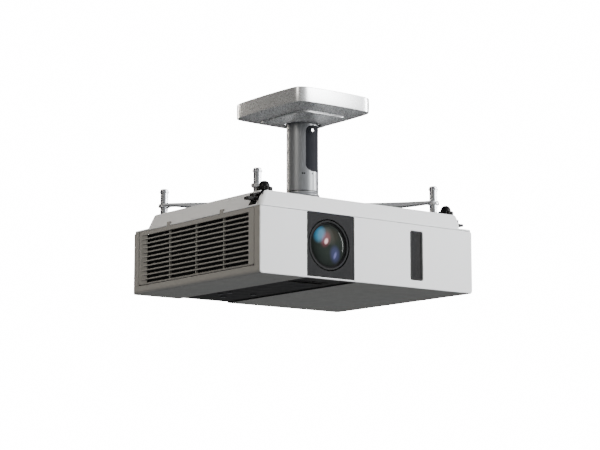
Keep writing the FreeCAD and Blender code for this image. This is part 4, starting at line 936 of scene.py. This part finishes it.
def arm(node):
    """A bowed channel that gets shallower towards its post."""
    post_x, post_y = post_of(node)
    reach = math.hypot(post_x, post_y)
    ux, uy = post_x / reach, post_y / reach
    side = 1 if ux * uy < 0 else -1
    z = spans(node)[2]
    hub_reach, bow, half, web, narrowest = 38 * MM, 9 * MM, 9.5 * MM, 1.6 * MM, 0.05
    chord = reach - hub_reach
    bend = (chord * chord / 4 + bow * bow) / (2 * bow)
    centre = Vector((ux, uy)) * (reach + hub_reach) / 2 + Vector((uy, -ux)) * side * (bend - bow)
    half_angle = math.asin(chord / (2 * bend))
    heading = math.atan2(uy, ux) + math.pi / 2 * side
    overhang = 8 * MM / bend
    sweep = 2 * half_angle + 2 * overhang
    steps = 40
    rings = []
    for k in range(steps + 1):
        share = k / steps
        outward = share if side < 0 else 1 - share
        angle = heading - half_angle - overhang + sweep * share
        spoke = Vector((math.cos(angle), math.sin(angle)))
        depth = (3.2 + 4.2 * math.sin(math.pi * min(1, outward * 1.15)) ** 0.8) * MM
        end = min(share, 1 - share) * sweep * bend
        width = half * math.sqrt(max(narrowest, 1 - max(0, 1 - end / half) ** 2))
        rings.append(channel(centre, spoke, bend, width, z[1], web, depth))
    mesh = loft(node + "_skin", rings, sharp=40)
    post_hole = round_cutter((post_x, post_y), 6.2 * MM, z, 40)
    stand_for(node, cut_away(mesh, [post_hole]))


def channel(centre, spoke, bend, half, top, web, depth):
    """Cross-section of a stamped channel, open below, with soft outer corners."""
    wall, soft = min(1.8 * MM, half * 0.5), 0.5 * MM
    profile = [(-half, top - depth), (-half, top - soft), (-half + soft, top), (half - soft, top),
               (half, top - soft), (half, top - depth), (half - wall, top - depth),
               (half - wall, top - web), (-half + wall, top - web), (-half + wall, top - depth)]
    return [(centre[0] + spoke[0] * (bend + u), centre[1] + spoke[1] * (bend + u), z) for u, z in profile]


def post_of(node):
    """The post that an arm of that name holds."""
    ahead = -1 if "front" in node else 1
    across = -1 if "left" in node else 1
    for x, y, _ in solids_spans("post_rods"):
        if middle(x) * across > 0 and middle(y) * ahead > 0:
            return middle(x), middle(y)
    raise ValueError(node)


def posts():
    """Rods with softened feet, flanged caps and hexagon nuts."""
    rods, caps, nuts = [], [], []
    soft, foot = 0.5 * MM, spans("base_tray")[2][1]
    for x, y, z in solids_spans("post_rods"):
        radius = (x[1] - x[0]) / 2
        profile = [(0, foot), (radius - soft, foot), (radius, foot + soft), (radius, z[1]), (0, z[1])]
        rods.append(lathe("post", profile, (middle(x), middle(y), 0), steps=48, closed=False))
    for x, y, z in solids_spans("post_caps"):
        radius = (x[1] - x[0]) / 2
        low, flange, high = z[0], z[0] + 2.8 * MM, z[1]
        crown, dome = radius - 0.9 * MM, 2.4 * MM
        profile = [(0, low), (radius - soft, low), (radius, low + soft), (radius, flange - soft),
                   (radius - soft, flange), (crown, flange)]
        profile += arc((crown - dome, high - dome), dome, 0, 90)
        profile += [(0, high)]
        caps.append(lathe("cap", profile, (middle(x), middle(y), 0), steps=48, closed=False))
    for x, y, z in solids_spans("post_nuts"):
        radius = (x[1] - x[0]) / 2
        nuts.append(hexagon_nut((middle(x), middle(y)), radius, 6.05 * MM, z))
    stand_for("post_rods", joined("post_rods_skin", rods))
    stand_for("post_caps", joined("post_caps_skin", caps))
    stand_for("post_nuts", joined("post_nuts_skin", nuts))


def hexagon_nut(centre, radius, bore, z):
    """Six flats with chamfered corners round a bore."""
    steps, soft, flat_share = 48, 0.5 * MM, 0.93
    rings = []
    for height, inset in ((z[0], soft), (z[0] + soft, 0), (z[1] - soft, 0), (z[1], soft)):
        points = []
        for k in range(steps):
            angle = 2 * math.pi * k / steps
            flat = radius * flat_share / math.cos((angle + math.pi / 6) % (math.pi / 3) - math.pi / 6)
            reach = min(flat, radius) - inset
            points.append((centre[0] + reach * math.cos(angle), centre[1] + reach * math.sin(angle), height))
        rings.append(points)
    rings += [at_height(circle(centre, bore, steps), height) for height in (z[1], z[0])]
    return closed_loft("nut", rings)


# ---- feet

def feet():
    """Domed legs on studs, scalloped rings, levers and housings."""
    dome, stud, soft = 8.3 * MM, 4 * MM, 0.5 * MM
    seat = spans("base_tray")[2][1] + 6.2 * MM
    for side in ("left", "right"):
        leg = "foot_leg_" + side
        x, y, z = spans(leg)
        profile = [(0, z[0]), (stud - soft, z[0]), (stud, z[0] + soft), (stud, seat), (dome, seat)]
        for degrees in range(8, 89, 8):
            a = math.radians(degrees)
            profile.append((dome * math.cos(a) ** 0.8, seat + (z[1] - seat) * math.sin(a)))
        profile += [(0, z[1])]
        stand_for(leg, lathe(leg + "_skin", profile, (middle(x), middle(y), 0), steps=64, closed=False))
        scalloped_ring("foot_ring_" + side)
        softened("foot_lever_" + side, 0.6 * MM)
    softened("foot_housings", 0.5 * MM)


def scalloped_ring(node):
    """A knurled wheel with finger scallops."""
    x, y, z = spans(node)
    centre = (middle(x), middle(y))
    radius, bore, soft, steps = (x[1] - x[0]) / 2, 4.15 * MM, 0.7 * MM, 144
    scallops, scallop_depth = 12, 1.1 * MM
    rings = []
    for height, inset in ((z[0], soft), (z[0] + soft, 0), (z[1] - soft, 0), (z[1], soft)):
        points = []
        for k in range(steps):
            angle = 2 * math.pi * k / steps
            wave = max(0.0, math.cos(scallops * angle)) ** 2 * scallop_depth
            reach = radius - inset - wave
            points.append((centre[0] + reach * math.cos(angle), centre[1] + reach * math.sin(angle), height))
        rings.append(points)
    rings += [at_height(circle(centre, bore, steps), height) for height in (z[1], z[0])]
    stand_for(node, closed_loft(node + "_skin", rings))


ceiling_cover()
screws_painted_shade()
tray()
front_panel()
lens_panel()
lens_bezel()
lens_cell()
front_glass()
ir_window()
left_panel()
filter_door()
right_panel()
rear_panel()
top_cover()
control_band()
for arm_node in ("arm_front_right", "arm_front_left", "arm_rear_left", "arm_rear_right"):
    arm(arm_node)
posts()
feet()
for soft_node in ("cable_cover", "swivel_collar", "rear_ports", "ac_inlet", "cable_cover_screw"):
    softened(soft_node, 0.25 * MM)


# ---- camera, light and stage

CAMERA_PLACE = (-1.6714, -2.1693, -0.6367)
CAMERA_HEADING = 37.535     # degrees from +Y towards +X
CAMERA_CLIMB = 9.133        # degrees above level


def view_direction():
    heading, climb = math.radians(CAMERA_HEADING), math.radians(CAMERA_CLIMB)
    level = math.cos(climb)
    return Vector((math.sin(heading) * level, math.cos(heading) * level, math.sin(climb)))


def camera():
    """A long lens in front of the lens side, looking a little upwards."""
    data = bpy.data.cameras.new("camera")
    data.lens = 107.0
    data.sensor_width = 36.0
    data.clip_end = 100
    viewer = bpy.data.objects.new("camera", data)
    bpy.context.scene.collection.objects.link(viewer)
    viewer.location = CAMERA_PLACE
    viewer.rotation_mode = "QUATERNION"
    viewer.rotation_quaternion = view_direction().to_track_quat("-Z", "Y")
    bpy.context.scene.camera = viewer


def area_light(name, place, target, size, power, colour=(1, 1, 1), spread_angle=60):
    """A softbox at place that faces target; spread_angle in degrees keeps its light off the rest."""
    data = bpy.data.lights.new(name, "AREA")
    data.shape = "RECTANGLE"
    data.size, data.size_y = size
    data.energy = power
    data.color = colour
    data.spread = math.radians(spread_angle)
    lamp = bpy.data.objects.new(name, data)
    bpy.context.scene.collection.objects.link(lamp)
    lamp.location = place
    lamp.rotation_mode = "QUATERNION"
    lamp.rotation_quaternion = (Vector(target) - Vector(place)).to_track_quat("-Z", "Y")


def world_light():
    """A dim room, brighter to the front right and darker below."""
    world = bpy.data.worlds.new("studio")
    bpy.context.scene.world = world
    world.use_nodes = True
    nodes, links = world.node_tree.nodes, world.node_tree.links
    background = nodes["Background"]
    background.inputs["Color"].default_value = (1, 1, 1, 1)
    where = nodes.new("ShaderNodeTexCoord")
    parts = nodes.new("ShaderNodeSeparateXYZ")
    links.new(where.outputs["Generated"], parts.inputs["Vector"])
    toward = nodes.new("ShaderNodeVectorMath")
    toward.operation = "DOT_PRODUCT"
    toward.inputs[1].default_value = (0.71, -0.71, 0)
    links.new(where.outputs["Generated"], toward.inputs[0])

    def ramp(source, start, end, low, high):
        node = nodes.new("ShaderNodeMapRange")
        node.interpolation_type = "SMOOTHSTEP"
        for key, value in (("From Min", start), ("From Max", end), ("To Min", low), ("To Max", high)):
            node.inputs[key].default_value = value
        links.new(source, node.inputs["Value"])
        return node.outputs["Result"]

    def combined(operation, first, second):
        node = nodes.new("ShaderNodeMath")
        node.operation = operation
        links.new(first, node.inputs[0])
        links.new(second, node.inputs[1])
        return node.outputs["Value"]

    sideways = ramp(toward.outputs["Value"], -0.6, 0.8, 0.09, 0.6)
    upward = ramp(parts.outputs["Z"], -0.05, 0.15, 0.6, 1.0)
    links.new(combined("MULTIPLY", sideways, upward), background.inputs["Strength"])


def white_screen(distance=8.0, width=3.3, height=2.5):
    """A white screen far behind the object; it lights nothing, so it only fills the picture."""
    forward = view_direction()
    right = forward.cross(Vector((0, 0, 1))).normalized()
    up = right.cross(forward)
    centre = Vector(CAMERA_PLACE) + forward * distance
    corners = [centre + right * (u * width / 2) + up * (v * height / 2)
               for u, v in ((-1, -1), (1, -1), (1, 1), (-1, 1))]
    screen = bpy.data.objects.new("screen", mesh_from("screen", corners, [(0, 1, 2, 3)]))
    bpy.context.scene.collection.objects.link(screen)
    material, _, _, shader = new_material("screen_white", (0, 0, 0), 1.0)
    shader.inputs["Emission Color"].default_value = (1, 1, 1, 1)
    shader.inputs["Emission Strength"].default_value = 16.0
    screen.data.materials.append(material)
    screen.visible_diffuse = False
    screen.visible_glossy = False
    screen.visible_transmission = False
    screen.visible_shadow = False


def studio():
    """Softboxes round the object over a pale floor."""
    world_light()
    white_screen()
    case_aim, mount_aim, underside_aim = (0, 0, -0.22), (0, 0, -0.12), (0, 0, -0.3)
    warm, warmer, cool = (1.0, 0.95, 0.87), (1.0, 0.92, 0.82), (0.9, 0.96, 1.0)
    area_light("key", (1.3, -2.25, 0.75), case_aim, (1.2, 1.2), 8.6, spread_angle=38)
    area_light("left_fill", (-2.2, -0.3, 0.9), case_aim, (0.5, 0.6), 1.6, warm, 40)
    area_light("right_strip", (2.3, -1.1, 0.35), mount_aim, (0.25, 1.0), 4.0, spread_angle=40)
    area_light("rear_strip", (-0.55, 2.6, 0.4), mount_aim, (0.14, 1.2), 1.6, warmer, 50)
    area_light("floor_fill", (0.1, -0.2, -1.8), underside_aim, (1.6, 1.6), 1.2, cool, 70)
    across, depth = (-4, 4), (-1.92, -1.9)
    floor = bpy.data.objects.new("floor", block(across, across, depth))
    bpy.context.scene.collection.objects.link(floor)
    floor.data.materials.append(moulded_plastic("floor_paint", (0.7, 0.72, 0.74), 0.8, 0.1))


camera()
studio()
